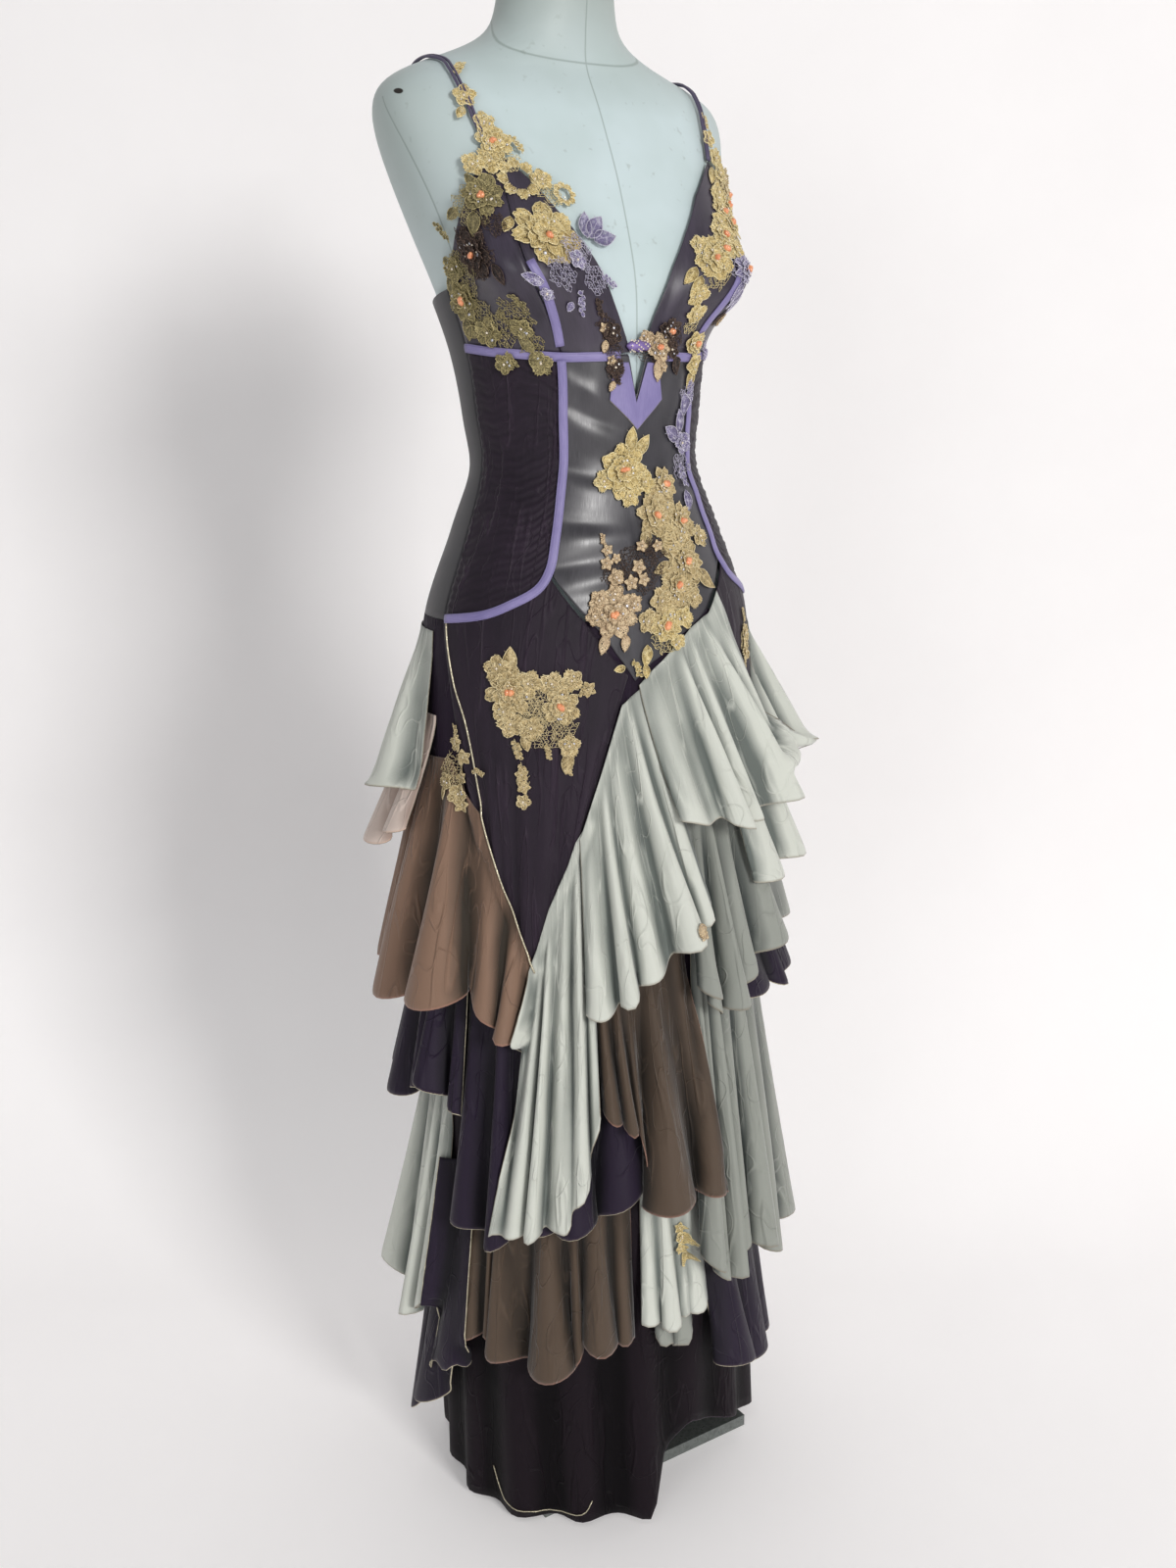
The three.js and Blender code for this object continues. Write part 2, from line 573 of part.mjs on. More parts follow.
// The flounces, from the innermost to the outermost. Each row of lines is a panel's cut as above,
// flare is how far the hem stands out, and flutes are the waves, with their depth at the hem.
const flounces = [
  {
    plum_low_left: { material: "plum", flare: 24, flutes: 4, depth: 7, lines: [
      [0, 9, 330, 11, 172],
      [0.4, 30, 330, 31, 134],
      [1, 76, 330, 74, 112],
    ] },
    plum_handkerchief: { material: "plum", flare: 30, flutes: 2, depth: 7, lines: [
      [0, -117, 340, -115, 52],
      [0.5, -98, 340, -96, 106],
      [1, -80, 340, -79, 156],
    ] },
    sage_low_under: { material: "sage", rest: -0.3, flare: 15, flutes: 2, depth: 4, lines: [
      [0, -10, 330, -11, 216],
      [0.5, -4, 330, -3, 200],
      [1, 4, 330, 3, 216],
    ] },
    brown_low: { material: "brown", flare: 24, flutes: 7, depth: 12, lines: [
      [0, -79.5, 420, -80, 202],
      [0.15, -66, 420, -66, 224],
      [0.3, -62, 420, -63, 200],
      [0.72, -37, 420, -36, 202],
      [0.78, -34, 420, -34, 228],
      [1, -17, 430, -18, 218],
    ] },
  },
  {
    sage_low_right: { material: "sage", flare: 38, flutes: 3, depth: 13, lines: [
      [0, -116, 500, -119, 258],
      [0.35, -106, 500, -109, 204],
      [0.6, -97, 500, -100, 214],
      [0.8, -91, 490, -93, 250],
      [1, -84, 480, -83, 270],
    ] },
    sage_low_centre: { material: "sage", flare: 22, flutes: 4, depth: 6, lines: [
      [0, -13, 430, -16, 240],
      [0.5, -4, 430, -5, 233],
      [1, 8, 430, 8, 236],
    ] },
    sage_low_back: { material: "sage", flare: 34, flutes: 11, depth: 12, lines: [
      [0, 77, 500, 78, 240],
      [0.3, 120, 500, 120, 262],
      [0.6, 170, 500, 170, 232],
      [1, 242, 500, 240, 256],
    ] },
  },
  {
    plum_corner: { material: "plum", flare: 34, flutes: 1, depth: 6, lines: [
      [0, -87, 400, -87, 166],
      [1, -72, 400, -72, 192],
    ] },
    sage_long_left: { material: "sage", flare: 36, flutes: 6, depth: 13, lines: [
      [0, 9, 640, 2, 302],
      [0.2, 15, 640, 10, 272],
      [0.4, 25, 640, 18, 300],
      [0.65, 44, 620, 34, 264],
      [1, 86, 620, 84, 248],
    ] },
  },
  {
    plum_middle: { material: "plum", flare: 30, flutes: 6, depth: 12, lines: [
      [0, -70, 640, -77, 345],
      [0.3, -58, 630, -60, 338],
      [0.6, -45, 620, -44, 355],
      [0.85, -28, 620, -28, 366],
      [1, -12, 620, -13, 396],
    ] },
    plum_left: { material: "plum", flare: 34, flutes: 5, depth: 7, lines: [
      [0, 14, 690, 15, 572],
      [0.45, 44, 700, 44, 556],
      [1, 98, 700, 100, 552],
    ] },
    plum_back: { material: "plum", rest: -0.3, flare: 32, flutes: 9, depth: 12, lines: [
      [0, 102, 650, 102, 470],
      [0.5, 172, 650, 172, 446],
      [1, 242, 650, 240, 462],
    ] },
  },
  {
    plum_right: { material: "plum", flare: 30, flutes: 4, depth: 12, lines: [
      [0, -116, 650, -118, 445],
      [0.35, -99, 650, -98, 464],
      [0.65, -86, 650, -84, 494],
      [1, -72, 640, -71, 462],
    ] },
  },
  {
    brown_middle: { material: "brown", flare: 36, flutes: 4, depth: 12, lines: [
      [0, -26, 610, -25, 486],
      [0.3, -17, 620, -15, 452],
      [0.45, -12, 625, -13, 374],
      [0.75, -4, 640, -2, 378],
      [1, 5, 652, 10, 366],
    ] },
    brown_right: { material: "brown", flare: 36, flutes: 6, depth: 13, lines: [
      [0, -113, 810, -117, 585],
      [0.28, -95, 818, -99, 580],
      [0.52, -78, 822, -79, 591],
      [0.75, -62, 770, -64, 600],
      [0.88, -53, 690, -56, 565],
      [1, -45.5, 630, -49, 552],
    ] },
    brown_back: { material: "brown", flare: 34, flutes: 9, depth: 12, lines: [
      [0, 87, 810, 90, 592],
      [0.5, 172, 810, 172, 574],
      [1, 244, 810, 242, 588],
    ] },
    sage_middle_left: { material: "sage", flare: 40, flutes: 5, depth: 13, lines: [
      [0, 6, 750, 3, 612],
      [0.25, 14, 760, 12, 558],
      [0.4, 22, 770, 20, 550],
      [0.65, 38, 780, 34, 584],
      [1, 80, 790, 84, 568],
    ] },
  },
  {
    sage_hip_under_left: { material: "sage", flare: 42, flutes: 4, depth: 12, lines: [
      [0, 26, 830, 27, 676],
      [0.35, 46, 850, 50, 682],
      [1, 98, 870, 104, 692],
    ] },
    sage_cascade_low: { material: "sage", flare: 38, flutes: 4, depth: 13, lines: [
      [0, -46, 620, -58, 352],
      [0.4, -39, 680, -46, 358],
      [0.7, -32, 722, -37, 366],
      [0.86, -29, 745, -31, 400],
      [1, -25, 762, -26, 480],
    ] },
    sage_back_right: { material: "sage", flare: 48, flutes: 4, depth: 13, lines: [
      [0, -152, 940, -154, 790],
      [0.5, -122, 942, -126, 772],
      [1, -92, 940, -97, 800],
    ] },
    sage_back: { material: "sage", flare: 40, flutes: 7, depth: 13, lines: [
      [0, 112, 940, 114, 782],
      [0.5, 160, 940, 160, 764],
      [1, 206, 940, 204, 782],
    ] },
  },
  {
    sage_hip_left: { material: "sage", flare: 48, flutes: 5, depth: 13, lines: [
      [0, 60, 880, 38, 784],
      [0.3, 64, 925, 54, 798],
      [0.65, 84, 944, 82, 790],
      [1, 120, 944, 122, 800],
    ] },
    sage_cascade_middle: { material: "sage", flare: 38, flutes: 4, depth: 13, lines: [
      [0, -27.5, 748, -28, 575],
      [0.35, -19.5, 810, -18, 590],
      [0.7, -12, 872, -8, 622],
      [1, -4, 888, 2, 662],
    ] },
  },
  {
    sage_cascade_top: { material: "sage", flare: 42, flutes: 6, depth: 13, lines: [
      [0, -6, 889, 0, 760],
      [0.3, 4, 918, 10, 748],
      [0.6, 12, 937, 24, 744],
      [0.85, 20, 948, 44, 756],
      [1, 27, 968, 56, 768],
    ] },
  },
];
const columnsPerFlute = 3;
const flounceRows = [0, 0.1, 0.5, 1]; // the first, short row is the seam it hangs from
function flouncePiece(name, cut) {
  const swing = (u) => Math.cos(2 * Math.PI * (cut.flutes * u + 0.13 * Math.sin(9 * u)));
  return {
    name,
    material: cut.material,
    clearance: cut.rest === undefined ? restGap : cut.rest,
    places: placesBetween({
      lines: cut.lines,
      across: cut.flutes * columnsPerFlute,
      downShares: flounceRows,
      out: (u, v) => airOverForm + cut.flare * v ** 1.15 + cut.depth * v * swing(u),
    }),
  };
}

// A narrow strip that follows a line on the gown or the form: piping, a strap or an edge.
// path is rows of pathColumns, and the strip's outer face is crowned by its rise.
function surfaceFrame(angle, height, out) {
  const here = figurePoint(angle, height, out);
  const alongAngle = figurePoint(angle + 0.5, height, out).sub(here);
  const alongHeight = figurePoint(angle, height + 1, out).sub(here);
  return { here, normal: alongAngle.cross(alongHeight).normalize() };
}
const widthOfDegree = 2; // millimetres, near enough to space points by
function smoothPath(path, step) {
  const points = table(pathColumns, path).map(
    ({ angle, height }) => new THREE.Vector3(angle * widthOfDegree, height, 0),
  );
  const curve = new THREE.CatmullRomCurve3(points);
  const count = Math.max(4, Math.round(curve.getLength() / step));
  return curve.getSpacedPoints(count).map((point) => [point.x / widthOfDegree, point.y]);
}
function addStrip({ name, material, path, width, thickness, rise, step, gap = stripGap, out }) {
  const line = smoothPath(path, step);
  const outs = line.map(([angle, height]) => {
    const below = reachedWithin([angle - 4, angle + 4], [height - 12, height + 12]);
    return out === undefined ? below + gap : out;
  });
  const frames = line.map(([angle, height], i) => surfaceFrame(angle, height, outs[i]));
  const inner = [];
  const outer = [];
  for (let i = 0; i < frames.length; i += 1) {
    const before = frames[Math.max(i - 1, 0)].here;
    const after = frames[Math.min(i + 1, frames.length - 1)].here;
    const across = new THREE.Vector3().subVectors(after, before).cross(frames[i].normal).normalize();
    const at = (side, up) =>
      frames[i].here
        .clone()
        .addScaledVector(across, (side * width) / 2)
        .addScaledVector(frames[i].normal, up);
    inner.push([at(-1, 0), at(0, 0), at(1, 0)]);
    outer.push([at(-1, thickness), at(0, thickness + rise), at(1, thickness)]);
  }
  addMesh(name, wallGeometry(inner, outer, false), material);
  markLine(
    line.map(([angle, height], i) => ({ angle, height, reach: outs[i] + thickness + rise, spread: width })),
  );
}

const piping = { width: bindingWidth, thickness: 1.2, rise: 0.9, step: 15 };
const pipingPaths = {
  piping_cup: [[33, 1270], [31.8, 1248], [32.3, 1225], [33, 1199]],
  piping_underbust: [[84, 1200], [68, 1196], [50, 1192.5], [33, 1189.5], [20, 1189.5], [8, 1190]],
  piping_side: [[33.2, 1183], [33.6, 1160], [34.8, 1116], [36, 1070], [36.4, 1028], [37.4, 1000],
    [41, 983],
    [49.5, 971],
    [62, 960],
    [82.5, 954],
  ],
};
const strap = { width: strapWidth, thickness: 2.2, rise: 0.6, step: 22 };
const strapPath = [
  [36.2, 1377],
  [37, 1396],
  [38.5, 1416],
  [45, 1438],
  [60, 1450],
  [90, 1456],
  [118, 1451],
  [136, 1438],
  [146, 1412],
  [150, 1370],
  [151, 1320],
  [151, 1270],
  [151, 1236],
];

// Lace motifs cut out and sewn on. A spine is rows of spineColumns, half being the half width there,
// and every few rows an open ground between the flowers is cut through.
const laceWall = 1.6;
const laceReach = { angle: 3, height: 9 }; // how far round each point it clears what lies under it
const laceRowStep = 14;
const scallop = 0.72;
const laces = {
  lace_strap_right: { material: "gold", gap: 2, spine: [
    [-38, 1413, 6],
    [-37, 1396, 10],
    [-35, 1374, 14],
    [-32, 1352, 22],
    [-29, 1330, 26],
    [-26, 1306, 26],
    [-25, 1288, 14],
  ] },
  lace_strap_left: { material: "gold", gap: 2.9, spine: [
    [34, 1402, 6],
    [33, 1376, 13],
    [32, 1352, 15],
    [29, 1326, 20],
    [27, 1300, 22],
    [25, 1276, 22],
    [26, 1252, 18],
    [26, 1232, 20],
    [29, 1206, 22],
    [31, 1180, 18],
    [32, 1150, 10],
  ] },
  lace_cup_right: { material: "gold", spine: [
    [-44, 1334, 14],
    [-50, 1312, 20],
    [-55, 1288, 24],
    [-60, 1262, 28],
    [-62, 1238, 26],
    [-58, 1216, 22],
    [-52, 1196, 16],
  ] },
  lace_cup_lilac_right: { material: "lilac", gap: 1.6, spine: [
    [-13, 1296, 12],
    [-19, 1276, 18],
    [-23, 1256, 20],
    [-20, 1236, 16],
    [-17, 1218, 9],
  ] },
  lace_dark_right: { material: "darkLace", spine: [
    [-17, 1212, 8],
    [-14, 1205, 13],
    [-12, 1196, 14],
    [-10, 1182, 14],
    [-10, 1168, 7],
  ] },
  lace_dark_left: { material: "darkLace", gap: 0.6, spine: [
    [9, 1190, 8],
    [11, 1198, 15],
    [14, 1206, 14],
    [18, 1214, 7],
  ] },
  lace_centre: { material: "gold", gap: 2.4, spine: [
    [-6, 1094, 12],
    [-5, 1074, 20],
    [0, 1054, 22],
    [7, 1034, 26],
    [9, 1012, 30],
    [10, 990, 32],
    [7, 968, 34],
    [2, 948, 30],
    [-2, 928, 22],
    [-1, 908, 8],
  ] },
  lace_centre_side: { material: "gold", spine: [
    [-11, 1004, 8],
    [-9, 984, 14],
    [-11, 964, 18],
    [-13, 944, 18],
    [-9, 926, 8],
  ] },
  lace_hip_right: { material: "gold", spine: [
    [-50, 926, 8],
    [-50, 906, 16],
    [-47, 888, 22],
    [-41, 872, 24],
    [-34, 878, 22],
    [-27, 884, 16],
    [-23, 896, 7],
  ] },
  lace_hip_side: { material: "gold", gap: 0.5, spine: [
    [-70, 862, 7],
    [-69, 842, 13],
    [-69, 820, 17],
    [-68, 798, 16],
    [-67, 778, 9],
  ] },
  lace_hip_left: { material: "gold", gap: 0.5, spine: [
    [46, 935, 7],
    [45, 918, 12],
    [44, 900, 11],
    [43, 886, 6],
  ] },
};
function addLace(name, { material, spine, gap = 0.9 }) {
  const curve = new THREE.CatmullRomCurve3(
    table(spineColumns, spine).map(
      ({ angle, height, half }) => new THREE.Vector3(angle * widthOfDegree, height, half),
    ),
  );
  const count = Math.max(4, Math.round(curve.getLength() / laceRowStep));
  const points = curve.getSpacedPoints(count);
  const across = [-1, -0.5, 0, 0.5, 1];
  const faces = { inner: [], outer: [] };
  const marks = [];
  const places = points.map((point, i) => {
    const before = points[Math.max(i - 1, 0)];
    const after = points[Math.min(i + 1, count)];
    const length = Math.hypot(after.x - before.x, after.y - before.y);
    const sideways = [(after.y - before.y) / length, -(after.x - before.x) / length];
    const half = point.z * (i % 2 === 1 ? scallop : 1);
    return across.map((share) => ({
      angle: (point.x + sideways[0] * half * share) / widthOfDegree,
      height: point.y + sideways[1] * half * share,
    }));
  });
  for (const row of places) {
    for (const face of Object.keys(faces)) faces[face].push([]);
    for (const place of row) {
      const below = reachedWithin(
        [place.angle - laceReach.angle, place.angle + laceReach.angle],
        [place.height - laceReach.height, place.height + laceReach.height],
      );
      const out = below + gap;
      const { here, normal } = surfaceFrame(place.angle, place.height, out);
      marks.push({ ...place, reach: out + laceWall, spread: laceRowStep });
      faces.inner[faces.inner.length - 1].push(here);
      faces.outer[faces.outer.length - 1].push(here.clone().addScaledVector(normal, laceWall));
    }
  }
  const open = (i, j) => i % 3 === 1 && j === 1 + (Math.floor(i / 3) % 2) && i > 0 && i < count - 1;
  addMesh(name, wallGeometry(faces.inner, faces.outer, false, open), material);
  markLine(marks);
}

addForm();
addLayer([underskirt()]);
addLayer([
  ...bodiceSide(-1, "right"),
  ...bodiceSide(1, "left"),
  { name: "centre_front", material: "satin", places: placesBetween(centreFront) },
  ...Object.entries(hipPanels).map(([name, cut]) => ({
    name,
    material: "plum",
    clearance: stripGap,
    places: placesBetween(cut),
  })),
]);
addLayer([
  { name: "keyhole_tab", material: "lilac", places: placesBetween(keyholeTab) },
]);
addKnot();
for (const layer of flounces) {
  addLayer(Object.entries(layer).map(([name, cut]) => flouncePiece(name, cut)));
}
for (const [side, word] of [[-1, "right"], [1, "left"]]) {
  const mirrored = (path) => path.map(([angle, height]) => [side * angle, height]);
  for (const [name, path] of Object.entries(pipingPaths)) {
    const overCup = name === "piping_cup" ? { step: 8, gap: 2.2 } : { gap: 0.7 };
    addStrip({ name: name + "_" + word, material: "lilac", path: mirrored(path), ...piping, ...overCup });
  }
  const path = mirrored(strapPath);
  addStrip({ name: "strap_" + word, material: "lilac", path, out: airOverForm, ...strap });
}
for (const [name, lace] of Object.entries(laces)) addLace(name, lace);

export default gown;
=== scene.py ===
# A layered evening gown on a dress form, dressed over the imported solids.
# Tables are in millimetres and degrees: an angle is counted round the figure, 0 at the centre front
# and 90 at the wearer's left, and "out" is the distance outwards from the figure's own surface.
import math
import bpy
import numpy as np
from mathutils import Matrix, Vector


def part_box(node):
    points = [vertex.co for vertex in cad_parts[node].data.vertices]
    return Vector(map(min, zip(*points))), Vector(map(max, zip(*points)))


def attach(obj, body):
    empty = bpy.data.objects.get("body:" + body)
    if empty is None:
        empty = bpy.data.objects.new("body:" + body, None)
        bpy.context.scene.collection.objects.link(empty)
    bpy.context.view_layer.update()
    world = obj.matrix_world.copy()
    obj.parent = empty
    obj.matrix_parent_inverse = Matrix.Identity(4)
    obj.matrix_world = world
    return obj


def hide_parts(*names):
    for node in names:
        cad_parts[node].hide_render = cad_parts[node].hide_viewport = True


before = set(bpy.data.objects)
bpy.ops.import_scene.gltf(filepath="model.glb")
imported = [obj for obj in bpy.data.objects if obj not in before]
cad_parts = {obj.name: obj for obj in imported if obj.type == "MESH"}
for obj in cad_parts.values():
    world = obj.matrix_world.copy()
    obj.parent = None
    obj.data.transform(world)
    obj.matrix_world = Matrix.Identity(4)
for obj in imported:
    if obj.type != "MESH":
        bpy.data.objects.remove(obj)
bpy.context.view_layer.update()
bpy.ops.object.select_all(action="DESELECT")
scene = bpy.context.scene

# View and light
viewPoint = {"height": 1.150, "distance": 1.55, "pitch": 14.0, "azimuth": -33.0, "roll": -1.0,
             "lens": 35.2, "film": 36}


def placeCamera():
    turn, dip, roll = (math.radians(viewPoint[key]) for key in ("azimuth", "pitch", "roll"))
    back = Vector((math.sin(turn), -math.cos(turn), 0))
    across = Vector((math.cos(turn), math.sin(turn), 0))
    ahead = -back * math.cos(dip) + Vector((0, 0, -math.sin(dip)))
    upward = across.cross(ahead)
    right = across * math.cos(roll) + upward * math.sin(roll)
    upward = upward * math.cos(roll) - across * math.sin(roll)
    camera = bpy.data.objects.new("camera", bpy.data.cameras.new("camera"))
    camera.data.lens = viewPoint["lens"]
    camera.data.sensor_width = viewPoint["film"]
    place = Matrix((right, upward, -ahead)).transposed().to_4x4()
    place.translation = back * viewPoint["distance"] + Vector((0, 0, viewPoint["height"]))
    camera.matrix_world = place
    scene.collection.objects.link(camera)
    scene.camera = camera


lamps = {  # along the view's own directions, in metres: to the right, towards the camera and up
    "key": {"at": (4.2, 6.6, 3.1), "size": 2.0, "power": 400, "tint": (1.0, 0.985, 0.97)},
    "fill": {"at": (-2.2, 5.0, 1.7), "size": 1.8, "power": 32, "tint": (0.96, 0.985, 1.0)},
}
lampAim = (0, 0, 0.8)
surround = {"tint": (0.95, 0.945, 0.95, 1), "strength": 0.39}


def lightStudio():
    for name, lamp in lamps.items():
        light = bpy.data.lights.new(name, "AREA")
        light.size = lamp["size"]
        light.energy = lamp["power"]
        light.color = lamp["tint"]
        holder = bpy.data.objects.new(name, light)
        right, near, up = lamp["at"]
        turn = math.radians(viewPoint["azimuth"])
        holder.location = (right * math.cos(turn) + near * math.sin(turn),
                           right * math.sin(turn) - near * math.cos(turn), up)
        aim = Vector(lampAim) - holder.location
        holder.rotation_euler = aim.to_track_quat("-Z", "Y").to_euler()
        scene.collection.objects.link(holder)
    world = bpy.data.worlds.new("studio")
    world.use_nodes = True
    sky = world.node_tree.nodes["Background"]
    sky.inputs["Color"].default_value = surround["tint"]
    sky.inputs["Strength"].default_value = surround["strength"]
    scene.world = world
    scene.view_settings.view_transform = "Standard"


placeCamera()
lightStudio()
print("camera and lights are placed")

# The figure under the cloth
figureRows = np.array([  # height, half width, front, back, shift, square
    [0, 170, 160, 162, 0, 2.0],
    [300, 174, 150, 156, 0, 2.0],
    [600, 177, 138, 148, 0, 2.05],
    [800, 176, 126, 138, -2, 2.15],
    [905, 172, 118, 130, -4, 2.2],
    [960, 165, 112, 119, -5, 2.15],
    [1030, 138, 99, 100, -4, 2.1],
    [1089, 117, 88, 84, -2, 2.0],
    [1140, 120, 91, 88, 0, 2.05],
    [1196, 127, 96, 97, 3, 2.1],
    [1250, 141, 99, 103, 10, 2.2],
    [1300, 158, 98, 102, 20, 2.3],
    [1350, 176, 92, 98, 28, 2.4],
    [1390, 187, 82, 92, 36, 2.5],
    [1420, 190, 72, 80, 40, 2.4],
    [1440, 175, 62, 68, 42, 2.3],
    [1454, 140, 56, 60, 42, 2.1],
    [1468, 100, 54, 57, 40, 2.0],
    [1484, 72, 53, 55, 38, 2.0],
    [1502, 62, 52, 54, 34, 2.0],
    [1560, 56, 50, 52, 28, 2.0],
], float)
cupFullness = {"out": 42, "angle": 37, "spread": 21, "height": 1262, "above": 62, "below": 40}
clothing = {"air": 2.4, "wall": 0.7, "gap": 0.9}  # from the form, one cloth, and between two layers


def sectionAt(height):  # one level section, smooth from row to row
    rows = figureRows
    z = np.clip(height, rows[0, 0], rows[-1, 0])
    i = np.clip(np.searchsorted(rows[:, 0], z) - 1, 0, len(rows) - 2)
    before, low, high = rows[np.maximum(i - 1, 0)], rows[i], rows[i + 1]
    after = rows[np.minimum(i + 2, len(rows) - 1)]
    span = (high[..., 0] - low[..., 0])[..., None]
    t = (z[..., None] - low[..., :1]) / span
    rise = 3 * t**2 - 2 * t**3
    leave = t**3 - 2 * t**2 + t
    arrive = t**3 - t**2
    slopeLow = (high - before) / (high[..., :1] - before[..., :1]) * span
    slopeHigh = (after - low) / (after[..., :1] - low[..., :1]) * span
    return ((1 - rise) * low + rise * high + leave * slopeLow + arrive * slopeHigh)[..., 1:]


def figurePoints(angle, height, out=0.0):
    angle, height, out = np.broadcast_arrays(
        np.asarray(angle, float), np.asarray(height, float), np.asarray(out, float))
    section = sectionAt(height)
    turned = (angle + 180) % 360 - 180
    sine, cosine = np.sin(np.radians(turned)), np.cos(np.radians(turned))
    depth = np.where(cosine > 0, section[..., 1], section[..., 2])
    power = 2 / section[..., 4]
    x = section[..., 0] * np.sign(sine) * np.abs(sine) ** power
    y = -depth * np.sign(cosine) * np.abs(cosine) ** power
    radius = np.hypot(x, y)
    side = (np.abs(turned) - cupFullness["angle"]) / cupFullness["spread"]
    reach = np.where(height > cupFullness["height"], cupFullness["above"], cupFullness["below"])
    swelling = np.exp(-side**2 - ((height - cupFullness["height"]) / reach) ** 2) * cupFullness["out"]
    grown = (radius + swelling + out) / radius
    return np.stack([x * grown, y * grown + section[..., 3], height], -1)


# How far out the layers made so far reach, on a map of angle and height
mapStep = {"angle": 0.75, "height": 2.5}
reached = np.full((632, 480), clothing["air"])


def mapCells(angle, height):
    column = np.round((angle % 360) / mapStep["angle"]).astype(int) % reached.shape[1]
    row = np.clip(np.round(height / mapStep["height"]).astype(int), 0, reached.shape[0] - 1)
    return row, column


def neighbours(field):
    up = np.vstack([field[1:], field[-1:]])
    down = np.vstack([field[:1], field[:-1]])
    return [field, up, down, np.roll(field, 1, 1), np.roll(field, -1, 1)]


def spreadMap(reach=2, soften=2):
    wide = reached
    for _ in range(reach):
        wide = np.maximum.reduce(neighbours(wide))
    for _ in range(soften):
        wide = np.maximum(wide, sum(neighbours(wide)) / 5)
    return wide


def readMap(field, angle, height):
    a = (angle % 360) / mapStep["angle"]
    z = np.clip(height / mapStep["height"], 0, field.shape[0] - 1.001)
    i, j = np.floor(a).astype(int), np.floor(z).astype(int)
    s, t = a - i, z - j
    near, far = i % field.shape[1], (i + 1) % field.shape[1]
    low = field[j, near] * (1 - s) + field[j, far] * s
    high = field[j + 1, near] * (1 - s) + field[j + 1, far] * s
    return low * (1 - t) + high * t


def refine(grid, times):
    for axis in (0, 1):
        count = grid.shape[axis]
        at = np.linspace(0, count - 1, (count - 1) * times + 1)
        i = np.minimum(at.astype(int), count - 2)
        share = at - i
        share = share[:, None] if axis == 0 else share[None, :]
        grid = np.take(grid, i, axis) * (1 - share) + np.take(grid, i + 1, axis) * share
    return grid


def markReached(angle, height, top):
    angle, height, top = (refine(grid, 3) for grid in (angle, height, top))
    np.maximum.at(reached, mapCells(angle, height), top)


def soften(grid):
    padded = np.pad(grid, 1, mode="edge")
    grid = (padded[:-2, 1:-1] + 2 * grid + padded[2:, 1:-1]) / 4
    padded = np.pad(grid, 1, mode="edge")
    return (padded[1:-1, :-2] + 2 * grid + padded[1:-1, 2:]) / 4


# Meshes
def select(thing):
    bpy.ops.object.select_all(action="DESELECT")
    thing.select_set(True)
    bpy.context.view_layer.objects.active = thing


def applyAll(thing):
    select(thing)
    for modifier in list(thing.modifiers):
        bpy.ops.object.modifier_apply(modifier=modifier.name)


def makeMesh(name, points, faces, uv=None, marks=None):  # points in millimetres
    mesh = bpy.data.meshes.new(name)
    mesh.from_pydata((np.asarray(points, float) * 0.001).tolist(), [], faces)
    mesh.update()
    if uv is not None:
        corners = np.empty(len(mesh.loops), int)
        mesh.loops.foreach_get("vertex_index", corners)
        layer = mesh.uv_layers.new(name="UVMap")
        layer.data.foreach_set("uv", uv[corners].astype(np.float32).ravel())
    for key, values in (marks or {}).items():
        mark = mesh.attributes.new(key, "FLOAT", "POINT")
        mark.data.foreach_set("value", np.asarray(values, np.float32).ravel())
    mesh.polygons.foreach_set("use_smooth", [True] * len(mesh.polygons))
    thing = bpy.data.objects.new(name, mesh)
    scene.collection.objects.link(thing)
    return thing


def gridFaces(columns, rows, isRing=False):
    spans = columns if isRing else columns - 1
    i, j = np.meshgrid(np.arange(spans), np.arange(rows - 1), indexing="ij")
    here, beside = i * rows + j, ((i + 1) % columns) * rows + j
    return np.stack([here, here + 1, beside + 1, beside], -1).reshape(-1, 4).tolist()


def stepLengths(points, axis):
    steps = np.linalg.norm(np.diff(points, axis=axis), axis=-1)
    start = np.zeros_like(np.take(steps, [0], axis))
    return np.cumsum(np.concatenate([start, steps], axis), axis)


def tubeAlong(path, radius, sides=6):  # a closed tube of vertices and faces round a line
    path = np.asarray(path, float)
    ahead = np.gradient(path, axis=0)
    ahead /= np.linalg.norm(ahead, axis=1, keepdims=True) + 1e-9
    side = np.cross(ahead[0], [0.3, 0.2, 1.0])
    frames = []
    for step in ahead:
        side = side - step * (side @ step)
        side /= np.linalg.norm(side) + 1e-9
        frames.append((side.copy(), np.cross(step, side)))
    turns = np.arange(sides) * 2 * math.pi / sides
    one, other = (np.array([pair[k] for pair in frames])[:, None, :] for k in (0, 1))
    ring = path[:, None, :] + radius * (np.cos(turns)[None, :, None] * one
                                        + np.sin(turns)[None, :, None] * other)
    i, j = np.meshgrid(np.arange(len(path) - 1), np.arange(sides), indexing="ij")
    here, beside = i * sides + j, i * sides + (j + 1) % sides
    faces = np.stack([here, beside, beside + sides, here + sides], -1).reshape(-1, 4).tolist()
    last = (len(path) - 1) * sides
    faces.append(list(range(sides))[::-1])
    faces.append([last + k for k in range(sides)])
    return ring.reshape(-1, 3), faces


class Heap:  # gathers many small shapes into one mesh
    def __init__(self):
        self.points, self.faces, self.marks, self.count = [], [], [], 0

    def add(self, points, faces, mark=0.0):
        self.points.append(points)
        self.faces += [[k + self.count for k in face] for face in faces]
        self.marks.append(np.broadcast_to(mark, len(points)))
        self.count += len(points)

    def build(self, name):
        marks = {"cord": np.concatenate(self.marks)}
        return makeMesh(name, np.concatenate(self.points), self.faces, marks=marks)


